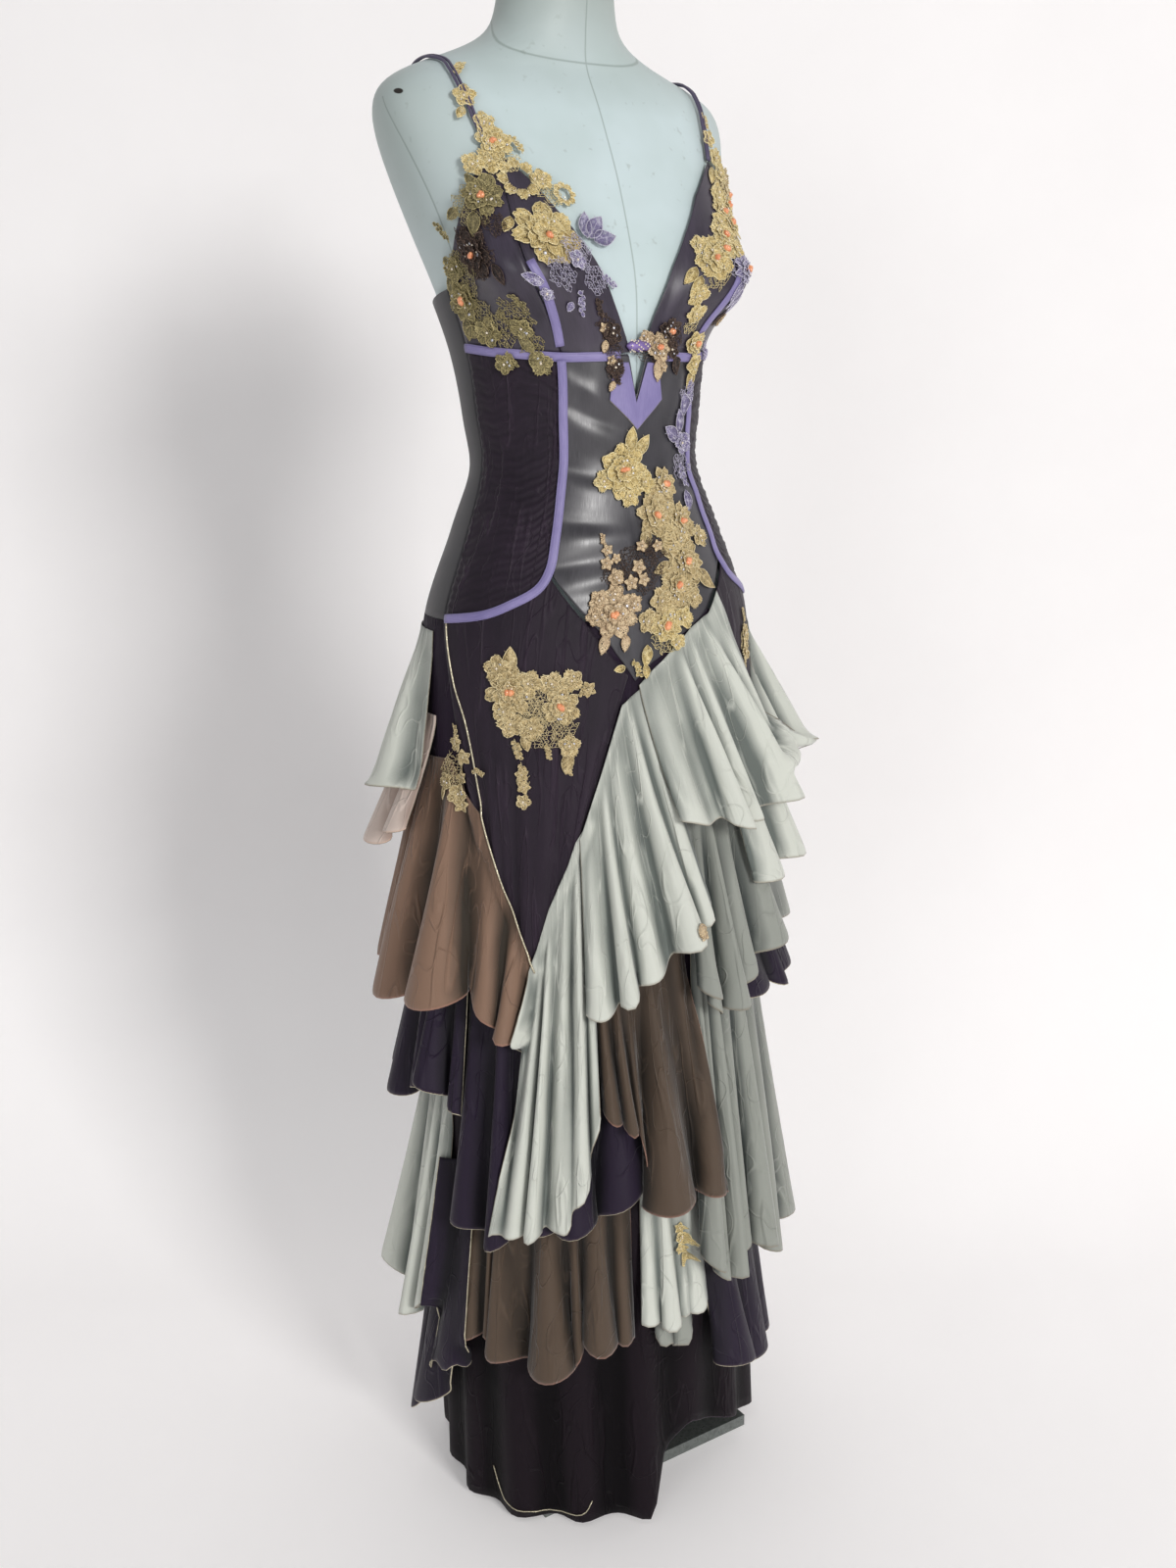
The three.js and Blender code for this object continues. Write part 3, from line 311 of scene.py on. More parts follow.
# Shader writing
class Wire:  # a socket that takes part in sums
    def __init__(self, kit, socket):
        self.kit, self.socket = kit, socket

    def maths(self, operation, one, other):
        return self.kit.node("ShaderNodeMath", {"operation": operation}, {0: one, 1: other})

    def __add__(self, other):
        return self.maths("ADD", self, other)

    def __sub__(self, other):
        return self.maths("SUBTRACT", self, other)

    def __rsub__(self, other):
        return self.maths("SUBTRACT", other, self)

    def __mul__(self, other):
        return self.maths("MULTIPLY", self, other)

    def __pow__(self, other):
        return self.maths("POWER", self, other)

    def __lt__(self, other):
        return self.maths("LESS_THAN", self, other)

    def __gt__(self, other):
        return self.maths("GREATER_THAN", self, other)

    __radd__ = __add__
    __rmul__ = __mul__


class Kit:
    def __init__(self, tree):
        self.tree = tree

    def node(self, kind, settings, inputs, output=0):
        made = self.tree.nodes.new(kind)
        for key, value in settings.items():
            if key == "stops":
                for k, (at, tint) in enumerate(value):
                    stop = made.color_ramp.elements[k] if k < 2 else made.color_ramp.elements.new(at)
                    stop.position, stop.color = at, tint
            else:
                setattr(made, key, value)
        for key, value in inputs.items():
            if isinstance(value, Wire):
                self.tree.links.new(value.socket, made.inputs[key])
            else:
                made.inputs[key].default_value = value
        return Wire(self, made.outputs[output])

    def place(self):
        return self.node("ShaderNodeTexCoord", {}, {}, "Object")

    def flat(self):
        return self.node("ShaderNodeUVMap", {"uv_map": "UVMap"}, {})

    def mark(self, name):
        return self.node("ShaderNodeAttribute", {"attribute_name": name}, {}, "Fac")

    def stretch(self, vector, scale):
        return self.node("ShaderNodeMapping", {}, {"Vector": vector, "Scale": scale})

    def noise(self, vector, scale, detail=2.0, roughness=0.5):
        values = {"Vector": vector, "Scale": scale, "Detail": detail, "Roughness": roughness}
        return self.node("ShaderNodeTexNoise", {}, values)

    def size(self, value):  # without its sign
        return self.node("ShaderNodeMath", {"operation": "ABSOLUTE"}, {0: value})

    def larger(self, one, other):
        return self.node("ShaderNodeMath", {"operation": "MAXIMUM"}, {0: one, 1: other})

    def axis(self, vector, k):
        return self.node("ShaderNodeSeparateXYZ", {}, {"Vector": vector}, k)

    def ramp(self, value, low, high):
        bounds = {"Value": value, "From Min": low, "From Max": high}
        return self.node("ShaderNodeMapRange", {"clamp": True}, bounds)

    def mix(self, share, one, other):
        return self.node("ShaderNodeMix", {"data_type": "RGBA"}, {0: share, 6: one, 7: other}, 2)

    def bump(self, height, strength, distance):
        values = {"Height": height, "Strength": strength, "Distance": distance}
        return self.node("ShaderNodeBump", {}, values)


def tint(red, green, blue, share=1.0):  # screen colour, 0 to 255, to the renderer's own
    parts = [(c / 255) ** 2.2 * share for c in (red, green, blue)]
    return (*parts, 1.0)


materials = {}


def finish(name, build, constants):
    material = bpy.data.materials.new(name)
    material.use_nodes = True
    shader = material.node_tree.nodes["Principled BSDF"]
    for key, value in constants.items():
        shader.inputs[key].default_value = value
    for key, wire in build(Kit(material.node_tree)).items():
        material.node_tree.links.new(wire.socket, shader.inputs[key])
    materials[name] = material


def chiffon(light, dark, hemTint, crepe, above=None):
    # thin silk: painted light on its fold ridges and painted shade in the hollows between them, paler on its
    # hem, with crisp fine creases that carry a painted highlight
    def build(kit):
        flat = kit.flat()
        streaks = kit.noise(kit.stretch(flat, (38, 5, 1)), 1, 3, 0.6)
        crinkle = kit.noise(kit.stretch(flat, (1.6, 1, 1)), 620, 3, 0.65)
        pressed = kit.noise(kit.stretch(flat, (46, 6, 1)), 1, 1.5, 0.5) - 0.5
        crossed = kit.noise(kit.stretch(flat, (30, 16, 1)), 1, 1.0, 0.5) - 0.5
        crease = 1 - kit.ramp(kit.size(pressed), 0.0, 0.03)
        cross = 1 - kit.ramp(kit.size(crossed), 0.0, 0.012)
        # The pressed creases get a painted highlight along them, and a ridge in the bump.
        lit = (crease * 0.6 + cross * 0.4) * kit.ramp(streaks, 0.42, 0.6)
        clouds = kit.noise(kit.place(), 13, 2, 0.5)
        # The fold mark paints light on fold ridges and shade in the hollows between them.
        told = streaks * 0.4 + kit.mark("fold") * 0.85 + clouds * 0.35 + crinkle * 0.12 + lit * 0.5
        share = kit.ramp(told, 0.54, 1.16)
        body = kit.mix(share, dark, light)
        if above:
            level = kit.axis(kit.place(), 2)
            body = kit.mix(kit.ramp(level, 0.45, 0.7), body, kit.mix(share, *above))
        hem = kit.ramp(kit.mark("hem"), 0.0, 2.2)
        weave = crinkle * crepe + kit.noise(kit.stretch(flat, (1, 0.35, 1)), 130, 2, 0.5) + lit * 9
        return {
            "Base Color": kit.mix(hem, hemTint, body),
            "Roughness": kit.ramp(crinkle, -1.2, 1.6),
            "Normal": kit.bump(weave, 0.55, 0.0006),
        }
    return build


def satin(light, dark, grain, gloss):
    def build(kit):
        flat = kit.flat()
        threads = kit.noise(kit.stretch(flat, (1, 0.08, 1)), grain, 2, 0.6)
        cloudy = kit.noise(flat, 22, 2, 0.5)
        share = kit.ramp(cloudy * 0.6 + threads * 0.4, 0.3, 0.7)
        return {
            "Base Color": kit.mix(share, dark, light),
            "Roughness": kit.ramp(threads * 0.3 + cloudy * 0.3 - gloss, -0.35, 0.95),
            "Normal": kit.bump(threads * 0.5 + cloudy * 2, 0.25, 0.0004),
        }
    return build


def thread(fill, cordTint, shade):  # corded lace: stitched ground with small openings, bright cords
    def build(kit):
        place = kit.place()
        cord = kit.mark("cord")
        twist = kit.node("ShaderNodeTexWave", {"bands_direction": "DIAGONAL"},
                         {"Vector": place, "Scale": 420.0, "Distortion": 6.0, "Detail": 2.0})
        mottle = kit.noise(place, 240, 3, 0.7)
        cells = kit.node("ShaderNodeTexVoronoi", {"feature": "DISTANCE_TO_EDGE"},
                         {"Vector": place, "Scale": 620.0})
        sparse = kit.ramp(kit.noise(place, 120, 2, 0.6), 0.38, 0.58)
        opening = (cells > 0.34 - sparse * 0.16) * (cord < 0.5)
        stitches = kit.ramp(mottle * 1.4 - cells * 0.9, 0.06, 0.66)
        # Where the cord mark is low, at the petal bases, more of the dark tone shows: painted shade between
        # overlapping petals.
        ground = kit.mix(stitches * kit.ramp(cord, -0.4, 0.35), shade, fill)
        lit = kit.mix(kit.ramp(mottle, 0.5, 0.72) * 0.7, ground, cordTint)
        bright = kit.mix(kit.ramp(twist, 0.05, 0.6), fill, cordTint)
        return {
            "Base Color": kit.mix(kit.ramp(cord, 0.25, 1.0), lit, bright),
            "Metallic": cord * 0.25,
            "Roughness": 0.62 - cord * 0.24,
            "Alpha": 1 - opening,
            "Normal": kit.bump(twist + mottle * 2 - cells * 2, 0.6, 0.0007),
        }
    return build


def plain(base, speck, scale, rough, relief):
    def build(kit):
        place = kit.place()
        grain = kit.noise(place, scale, 4, 0.6)
        return {
            "Base Color": kit.mix(kit.ramp(grain, 0.35, 0.75), base, speck),
            "Roughness": kit.ramp(grain, rough[0], rough[1]),
            "Normal": kit.bump(grain, relief, 0.0004),
        }
    return build


formMarks = {  # metres, and the holes by angle and height
    "centre": 0.004, "neck": (1.463, -0.7), "line": 0.0011, "hole": 0.0028,
    "arm": (1.25, 1.418, 0.050, 2.2, -0.016, 0.12),
    "holes": [(-84.0, 1416), (-66.8, 1420), (84.0, 1416), (66.8, 1420)],
}


def formShell(kit):  # painted shell with thin joint lines and fixing holes at the shoulders
    place = kit.place()
    x, y, z = (kit.axis(place, k) for k in range(3))
    line, wide = formMarks["line"], formMarks["hole"]

    def near(distance, width):
        return 1 - kit.ramp(kit.size(distance), width * 0.35, width)

    height, slope = formMarks["neck"]
    seams = kit.larger(near(x - formMarks["centre"], line), near(z - height + y * slope, line))
    level, top, reach, bend, start, least = formMarks["arm"]
    curve = kit.ramp(z, level, top) ** bend * reach + start
    seams = kit.larger(seams, near(y - curve, line * 1.2) * (kit.size(x) > least) * (z > level) * (z < top))
    # The holes are not cut: their dark colour is painted shade inside them.
    holes = 0.0 * x
    for angle, up in formMarks["holes"]:
        across, _, rise = (float(value) / 1000 for value in figurePoints(angle, up))
        away = ((x - across) ** 2 + (z - rise) ** 2) ** 0.5
        holes = kit.larger(holes, (1 - kit.ramp(away, wide * 0.8, wide)) * (y < 0.06))
    patches = kit.noise(place, 9, 3, 0.6)
    fine = kit.noise(place, 420, 3, 0.7)
    spots = kit.noise(place, 70, 2, 0.9)
    body = kit.mix(kit.ramp(patches, 0.3, 0.75), tint(182, 198, 198), tint(195, 210, 213))
    # Darker towards the top of the neck, and painted shade down both sides of the chest.
    darkerNeckAndSideShade = kit.larger(kit.ramp(z, 1.41, 1.53) * 0.9, kit.ramp(kit.size(x), 0.10, 0.20) * 0.7)
    darkenedBody = kit.mix(darkerNeckAndSideShade, body, tint(142, 150, 144))
    worn = kit.mix(kit.ramp(spots, 0.66, 0.74) * 0.35, darkenedBody, tint(140, 150, 146))
    lined = kit.mix(seams * 0.5, worn, tint(112, 124, 118))
    return {
        "Base Color": kit.mix(holes, lined, tint(34, 28, 24)),
        "Roughness": kit.ramp(fine * 0.3 + patches * 0.4, -0.4, 1.0),
        "Normal": kit.bump(fine * 0.12 + patches * 0.4 - seams * 0.8 - holes * 3, 0.3, 0.0006),
    }


cloth = {"Sheen Weight": 0.25, "Sheen Roughness": 0.45, "Specular IOR Level": 0.22}
plumCloth = {**cloth, "Sheen Weight": 0.1}
inkCloth = {**cloth, "Sheen Weight": 0.02, "Specular IOR Level": 0.1}
inkAbove = (tint(26, 20, 30), tint(48, 38, 52))
corded = {"Specular IOR Level": 0.5}
softCorded = {"Specular IOR Level": 0.4}
rolled = (700, (-0.6, 1.3), 0.4)
finishes = {  # the recipe, its tones, its other values, and the shader's own settings
    "chiffonSage": (chiffon, [(196, 199, 190), (98, 104, 100), (168, 164, 150)], [0.5], cloth),
    "chiffonSageShade": (chiffon, [(140, 143, 136), (62, 67, 65), (136, 130, 116)], [0.5], cloth),
    "chiffonBlush": (chiffon, [(200, 184, 174), (158, 138, 128), (206, 178, 160)], [0.5], cloth),
    "chiffonPlum": (chiffon, [(46, 36, 48), (22, 17, 25), (60, 48, 60)], [0.4], plumCloth),
    "chiffonInk": (chiffon, [(30, 24, 29), (14, 10, 14), (44, 36, 42)], [0.4, inkAbove], inkCloth),
    "chiffonDeep": (chiffon, [(35, 26, 43), (13, 9, 19), (54, 42, 56)], [0.4], plumCloth),
    "chiffonBrown": (chiffon, [(124, 99, 83), (44, 37, 29), (150, 112, 96)], [0.5], cloth),
    # A darker copy of the brown, with painted shade, for the lower tiers that hang in shade.
    "chiffonBrownShade": (chiffon, [(80, 67, 56), (32, 27, 22), (128, 94, 80)], [0.5], cloth),
    "satinGrey": (satin, [(60, 58, 64), (34, 33, 38)], [900, 0.16],
                  {"Sheen Weight": 0.05, "Specular IOR Level": 0.7}),
    "satinCup": (satin, [(62, 54, 70), (36, 31, 42)], [900, 0.14],
                 {"Sheen Weight": 0.05, "Specular IOR Level": 0.6}),
    "satinBack": (satin, [(50, 49, 54), (30, 29, 33)], [900, 0.05],
                  {"Sheen Weight": 0.05, "Specular IOR Level": 0.45}),
    "satinStrap": (satin, [(92, 84, 110), (62, 56, 78)], [1200, 0.0], {"Specular IOR Level": 0.5}),
    "satinLilac": (satin, [(138, 129, 174), (104, 96, 144)], [1200, 0.0],
                   {"Sheen Weight": 0.1, "Specular IOR Level": 0.55}),
    "laceGold": (thread, [(230, 204, 136), (255, 243, 198), (84, 66, 36)], [], corded),
    "laceBeige": (thread, [(208, 184, 132), (252, 236, 192), (74, 58, 38)], [], corded),
    "laceOlive": (thread, [(142, 132, 92), (212, 196, 142), (52, 46, 32)], [], corded),
    "laceLilac": (thread, [(142, 134, 172), (244, 240, 252), (70, 62, 98)], [], corded),
    "laceDark": (thread, [(54, 43, 40), (120, 100, 88), (20, 15, 16)], [], softCorded),
    "lacePeach": (thread, [(250, 228, 188), (158, 128, 98), (138, 106, 80)], [], softCorded),
    "rolledMetal": (plain, [(220, 211, 184), (120, 112, 92)], [700, (0.0, 1.4), 0.8], {"Metallic": 0.55}),
    "rolledSage": (plain, [(150, 143, 128), (92, 86, 74)], rolled, {}),
    "rolledBrown": (plain, [(150, 116, 102), (96, 74, 64)], rolled, {}),
    "rolledPlum": (plain, [(58, 46, 58), (30, 24, 32)], rolled, {}),
    "standMetal": (plain, [(120, 125, 122), (88, 92, 90)], [160, (0.1, 1.1), 0.1], {"Metallic": 0.5}),
    "coral": (plain, [(236, 164, 116), (206, 108, 70)], [260, (-0.1, 1.6), 0.2],
              {"Coat Weight": 0.5, "Specular IOR Level": 0.6}),
    "pearl": (plain, [(236, 226, 208), (214, 196, 170)], [300, (-0.2, 1.4), 0.1],
              {"Coat Weight": 0.7, "Sheen Weight": 0.2}),
    "sequin": (plain, [(226, 226, 232), (186, 190, 206)], [500, (-0.3, 1.5), 0.1],
               {"Metallic": 0.75, "Coat Weight": 0.6}),
    "beadedLilac": (plain, [(140, 118, 178), (92, 74, 130)], [1400, (-0.1, 1.2), 0.6],
                    {"Metallic": 0.4, "Coat Weight": 0.5}),
}
for name, (recipe, tones, values, settings) in finishes.items():
    finish(name, recipe(*(tint(*tone) for tone in tones), *values), settings)
finish("formShell", formShell, {"Coat Weight": 0.08, "Coat Roughness": 0.35})
print("finishes are mixed")


# Laying cloth
cutColumns = ("along", "topAngle", "topHeight", "hemAngle", "hemHeight")
density = {"across": 3.5, "down": 4.6, "back": 1.4}  # size of a mesh cell, and how much larger at the back
leastCells = {"across": 6, "down": 4}
paintedFoldReach = {"rounds": 14, "reach": 7.5}  # how wide a fold may be, and how far out it is fully light
made = {}


def readCut(lines, along):
    rows = np.array(lines, float)
    return {name: np.interp(along, rows[:, 0], rows[:, k]) for k, name in enumerate(cutColumns)}


def mirrored(lines):
    return [[1 - u, -a, z, -b, y] for u, a, z, b, y in reversed(lines)]


def layPiece(name, lines, shape, gap, cell, soft=2):
    # shape(u, v) gives how far out the cloth wants to hang, how far it leans aside and how far it lifts
    rows = np.array(lines, float)
    hem = figurePoints(rows[:, 3], rows[:, 4], 25)  # about where a flared hem hangs
    width = max(np.linalg.norm(np.diff(hem, axis=0), axis=1).sum(), 20)
    drop = np.abs(rows[:, 2] - rows[:, 4]).max()
    m = max(int(width / cell[0]), leastCells["across"]) + 1
    n = max(int(drop / cell[1]), leastCells["down"]) + 1
    u, v = np.linspace(0, 1, m)[:, None], np.linspace(0, 1, n)[None, :]
    cut = {key: value[:, None] for key, value in readCut(lines, u[:, 0]).items()}
    out, lean, lift = shape(u, v)
    angle = cut["topAngle"] * (1 - v) + cut["hemAngle"] * v + lean
    height = cut["topHeight"] * (1 - v) + cut["hemHeight"] * v + lift
    floor = -50.0 if gap is None else readMap(spreadMap(), angle, height) + gap
    out = np.maximum(np.broadcast_to(out, angle.shape), floor)
    for _ in range(soft):
        out = np.maximum(soften(out), floor)
    return {"name": name, "angle": angle, "height": height, "out": out,
            "points": figurePoints(angle, height, out)}


# Painted light and shade for cloth: near 1 on a fold's ridge, which is painted lit, near 0 in a hollow, which
# is painted shaded.
def paintedFoldLight(out, rounds, reach):  # how far cloth stands out of its own smoothed shape, from 0 to 1
    wide = out
    for _ in range(rounds):
        wide = soften(wide)
    return np.clip((out - wide) / reach + 0.5, 0, 1)


def sewCloth(piece, across, marks, faceMaterials, isRing=False):
    points = piece["points"]
    uv = np.stack([across, stepLengths(points, 1)], -1).reshape(-1, 2) * 0.001
    faces = gridFaces(*points.shape[:2], isRing)
    thing = makeMesh(piece["name"], points.reshape(-1, 3), faces, uv, marks)
    for name in faceMaterials:
        thing.data.materials.append(materials[name])
    wall = thing.modifiers.new("wall", "SOLIDIFY")
    wall.thickness = clothing["wall"] * 0.001
    wall.offset = 1
    wall.material_offset = 1 if faceMaterials[0] != faceMaterials[-1] else 0
    applyAll(thing)
    piece.update({"thing": thing, "with": []})
    made[piece["name"]] = piece


def clothFrom(piece, material, inside=None):
    across = stepLengths(piece["points"], 0).mean(1, keepdims=True) * np.ones((1, piece["out"].shape[1]))
    down = stepLengths(piece["points"], 1)
    # The fold mark is painted light on fold ridges and painted shade in the hollows.
    marks = {"fold": paintedFoldLight(piece["out"], **paintedFoldReach), "hem": down[:, -1:] - down}
    sewCloth(piece, across, marks, (material, inside or material))


def settle(piece):
    markReached(piece["angle"], piece["height"], piece["out"] + clothing["wall"])


def wear(thing, node):
    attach(thing, "root")
    if node:
        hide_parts(node)


def sewRoll(piece, name, path, radius, material):  # a rolled edge
    thing = makeMesh("hem_" + name, *tubeAlong(path, radius))
    thing.data.materials.append(materials[material])
    piece["with"].append(thing)
    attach(thing, "root")


def edgeTube(piece, radius, material, ends=False):  # along the hem, and up both ends
    points = piece["points"]
    line = points[:, -1]
    if ends:
        line = np.concatenate([points[0, :-1][::3], line, points[-1, :-1][::-1][::3]])
    sewRoll(piece, piece["name"], line, radius, material)


def smoothPath(path, step, side=1):
    knots = np.array(path, float) * [2.0 * side, 1.0]
    knots = np.vstack([2 * knots[0] - knots[1], knots, 2 * knots[-1] - knots[-2]])
    line = []
    for k in range(1, len(knots) - 2):
        t = np.linspace(0, 1, 24, endpoint=False)[:, None]
        a, b, c, d = knots[k - 1:k + 3]
        bend, twist = 2 * a - 5 * b + 4 * c - d, 3 * b - a - 3 * c + d
        line.append(0.5 * (2 * b + (c - a) * t + bend * t**2 + twist * t**3))
    line = np.vstack(line + [knots[-2:-1]])
    far = np.concatenate([[0], np.cumsum(np.linalg.norm(np.diff(line, axis=0), axis=1))])
    even = np.linspace(0, far[-1], max(int(far[-1] / step), 4) + 1)
    return np.interp(even, far, line[:, 0]) / 2, np.interp(even, far, line[:, 1])


def wobble(u, v, seed, rough=1.0):  # a smooth uneven value about 0, the same in every run
    rng = np.random.default_rng(seed)
    total = 0
    for k in range(5):
        a, b = rng.uniform(1, 9, 2) * rough
        total = total + np.sin(2 * math.pi * (a * u + rng.uniform()) + b * v * 2) / (1 + 0.5 * k)
    return total / 3


# Underskirt
underskirtCut = {
    "top": 952,
    "folds": [  # angle, out, spread
        (-172, 17, 8), (-150, 14, 9), (-127, 18, 8), (-104, 14, 8), (-82, 17, 8), (-60, 22, 9),
        (-38, 17, 7), (-15, 20, 6), (6, 8, 7), (27, 15, 8), (50, 13, 8), (73, 18, 8), (96, 14, 8),
        (119, 18, 9), (142, 14, 8), (165, 18, 8),
    ],
    "hem": [  # angle, height
        (-180, 9), (-60, 6), (-14, 7), (-7, 72), (4, 94), (20, 72), (40, 46), (64, 18), (90, 9), (180, 9),
    ],
    "tuck": 7, "cells": (144, 84), "radius": 170, "hemRoll": 0.8,
}


def makeUnderskirt():
    m, n = underskirtCut["cells"]
    angle = np.linspace(-180, 180, m, endpoint=False)[:, None]
    v = np.linspace(0, 1, n)[None, :]
    hems = np.array(underskirtCut["hem"], float)
    hem = np.interp(angle, hems[:, 0], hems[:, 1])
    height = underskirtCut["top"] * (1 - v) + hem * v
    folds = np.zeros_like(angle)
    for at, out, spread in underskirtCut["folds"]:
        away = (angle - at + 180) % 360 - 180
        folds = folds + out * np.exp(-(away / spread) ** 2)
    small = wobble(angle / 360 + 0.5, v * 0.3, 3, 3) * 1.8 * v
    out = clothing["air"] + folds * v**1.3 - underskirtCut["tuck"] * v + small
    out = out + 2.5 * np.sin(v * 9 + angle / 11) * v**2
    angle = angle + np.zeros_like(v)
    piece = {"name": "gown_underskirt", "angle": angle, "height": height, "out": out,
             "points": figurePoints(angle, height, out)}
    down = stepLengths(piece["points"], 1)
    # The fold mark is painted light on fold ridges and painted shade in the hollows.
    marks = {"fold": paintedFoldLight(out, 9, 6), "hem": down[:, -1:] - down + 3}
    sewCloth(piece, np.radians(angle + 180) * underskirtCut["radius"], marks, ("chiffonInk",), True)
    loop = piece["points"][np.append(np.arange(m), 0), -1]
    sewRoll(piece, "underskirt", loop, underskirtCut["hemRoll"], "rolledPlum")
    wear(piece["thing"], "underskirt")
    markReached(np.vstack([angle, angle[:1] + 360]), np.vstack([height, height[:1]]),
                np.vstack([out, out[:1]]) + clothing["wall"])


makeUnderskirt()
print("the underskirt hangs")

# Bodice
bodiceCuts = {  # lines: how far along, then angle and height at the top and at the hem
    "cup_inner": {"finish": "satinCup", "slot": "satin_grey", "cell": (3.0, 3.0), "lines": [
        [0, 4.5, 1207, 3.2, 1193.6], [0.16, 8.5, 1236, 8, 1192.6], [0.36, 12.5, 1270, 13, 1191.6],
        [0.56, 17.5, 1301, 18, 1190.8], [0.78, 25, 1338, 25, 1190.8], [1, 35.6, 1372, 33.2, 1192.6]]},
    "cup_outer": {"finish": "satinCup", "slot": "satin_grey", "cell": (3.5, 3.5), "lines": [
        [0, 35.9, 1372, 33.5, 1192.6], [0.35, 53, 1320, 50, 1194.4], [0.7, 71, 1281, 68, 1197],
        [1, 84, 1253, 84, 1200]]},
    "side_ruched": {"finish": "chiffonPlum", "slot": "chiffon_plum", "cell": (4.5, 1.7), "lines": [
        [0, 33.5, 1191.6, 37.8, 998], [0.25, 46, 1193, 48.5, 972], [0.6, 64, 1196, 64, 959],
        [1, 84, 1199.4, 84, 952.8]]},
    "back": {"finish": "satinBack", "slot": "satin_grey", "cell": (6.0, 5.5), "lines": [
        [0, 84.3, 1252.6, 84.3, 952.3], [0.5, 132, 1236, 132, 952.3], [1, 179.8, 1222, 179.8, 952.3]]},
}
centreFront = [
    [0, -33.2, 1191.6, -37.5, 998], [0.16, -24, 1189.6, -28, 970], [0.3, -14, 1190.4, -17, 938],
    [0.43, -4, 1192, -9, 903], [0.5, -0.6, 1152, -7, 893], [0.57, 4, 1192, -3, 905],
    [0.7, 14, 1190.4, 9, 932], [0.84, 24, 1189.6, 20.5, 950], [1, 33.2, 1191.6, 37.5, 998],
]
hipPanels = {
    "hip_panel_right": [
        [0, -83.5, 951, -63, 745], [0.25, -64, 957, -57, 700], [0.45, -49, 970.5, -51, 655],
        [0.57, -38, 996.5, -46.5, 618], [0.75, -24, 953, -36, 690], [1, -9.5, 899, -27, 752]],
    "hip_panel_left": [
        [0, 21.5, 949, 26, 900], [0.35, 38, 996.5, 42, 850], [0.6, 49, 970.5, 52, 830],
        [1, 83.5, 951, 70, 800]],
}
keyholeTab = [
    [0, -10.5, 1184.5, -13, 1151], [0.42, -4.2, 1184.5, -4, 1133], [0.5, -0.6, 1148, 0, 1124],
    [0.58, 4.2, 1184.5, 4, 1133], [1, 9.5, 1184.5, 12.5, 1151],
]
gathers = {"count": 30, "depth": 1.5, "slant": 2.2}
air = clothing["air"]


def cupShape(u, v):
    return air + 0.25 * wobble(u, v, 5, 0.4) + 0 * u * v, 0.0, 0.0


def backShape(u, v):
    folds = 0.9 * np.sin(v * 26 + u * 5) * np.exp(-((v - 0.55) / 0.2) ** 2)
    return air + 0.6 * folds + 0 * u, 0.0, 0.0


def ruchedShape(side):
    def shape(u, v):
        w = u if side > 0 else 1 - u
        run = v * gathers["count"] + gathers["slant"] * np.sin(w * 2.6 + 0.4) + 1.1 * wobble(w, v, 11, 0.7)
        ridge = (0.5 + 0.5 * np.sin(2 * math.pi * run)) ** 1.6
        second = 0.5 + 0.5 * np.sin(2 * math.pi * (run * 0.43 + w * 1.7))
        pull = 0.45 + 0.55 * np.clip(wobble(w * 2, v * 6, 21, 1.2) + 0.6, 0, 1)
        return air + gathers["depth"] * (ridge * pull * 0.7 + second * 0.5), 0.0, 0.0
    return shape


satinCreases = [  # height, how far it stands out, half its width, slope to the wearer's left, then where
    # it lies across the panel and how far it reaches
    (1158, 1.5, 8, -34, -0.6, 0.45), (1136, -1.2, 7, -30, -0.6, 0.5), (1118, 2.2, 14, -26, -0.5, 0.7),
    (1086, -1.4, 8, -18, -0.8, 0.5), (1068, 2.8, 15, -12, -0.3, 0.9), (1040, -1.5, 6, -10, -0.7, 0.4),
    (1026, 2.4, 11, 4, -0.5, 0.7), (1003, -1.4, 6, 10, -0.8, 0.5), (990, 2.2, 9, 16, -0.4, 0.6),
    (966, 1.3, 8, 18, -0.4, 0.7), (1100, 1.6, 9, 24, 0.8, 0.5), (1060, 1.6, 8, 18, 0.8, 0.5),
    (1020, 1.4, 8, 12, 0.8, 0.5),
]


def centreShape(u, v):
    waist = np.exp(-((v - 0.42) / 0.2) ** 2)
    creases = np.sin(v * 34 + 1.8 * np.sin(u * 5.2)) * waist
    edges = 0.35 + 0.65 * np.abs(2 * u - 1) ** 1.5
    drag = np.exp(-((v - 0.13) / 0.1) ** 2) * np.sin(u * 30 + v * 6)
    cut = {key: value[:, None] for key, value in readCut(centreFront, u[:, 0]).items()}
    height = cut["topHeight"] * (1 - v) + cut["hemHeight"] * v
    across = 2 * u - 1
    slack = 0
    for at, tall, wide, slope, where, reach in satinCreases:
        beside = across - where
        slack = slack + tall * np.exp(-((height - at - slope * beside) / wide) ** 2 - (beside / reach) ** 2)
    return air + 1.0 + 0.3 * creases * edges + slack + 0.5 * drag, 0.0, 0.0


def panelShape(u, v):
    folds = 2.2 * v**1.4 * np.sin(u * 21 + v * 2.2) + 1.2 * v * np.sin(u * 47 + 2)
    return air + 3.0 + folds, 0.0, 0.0


def tabShape(u, v):
    return air + 1.0 + 0 * u * v, 0.0, 0.0


bodiceShapes = {"cup_inner": cupShape, "cup_outer": cupShape, "back": backShape}


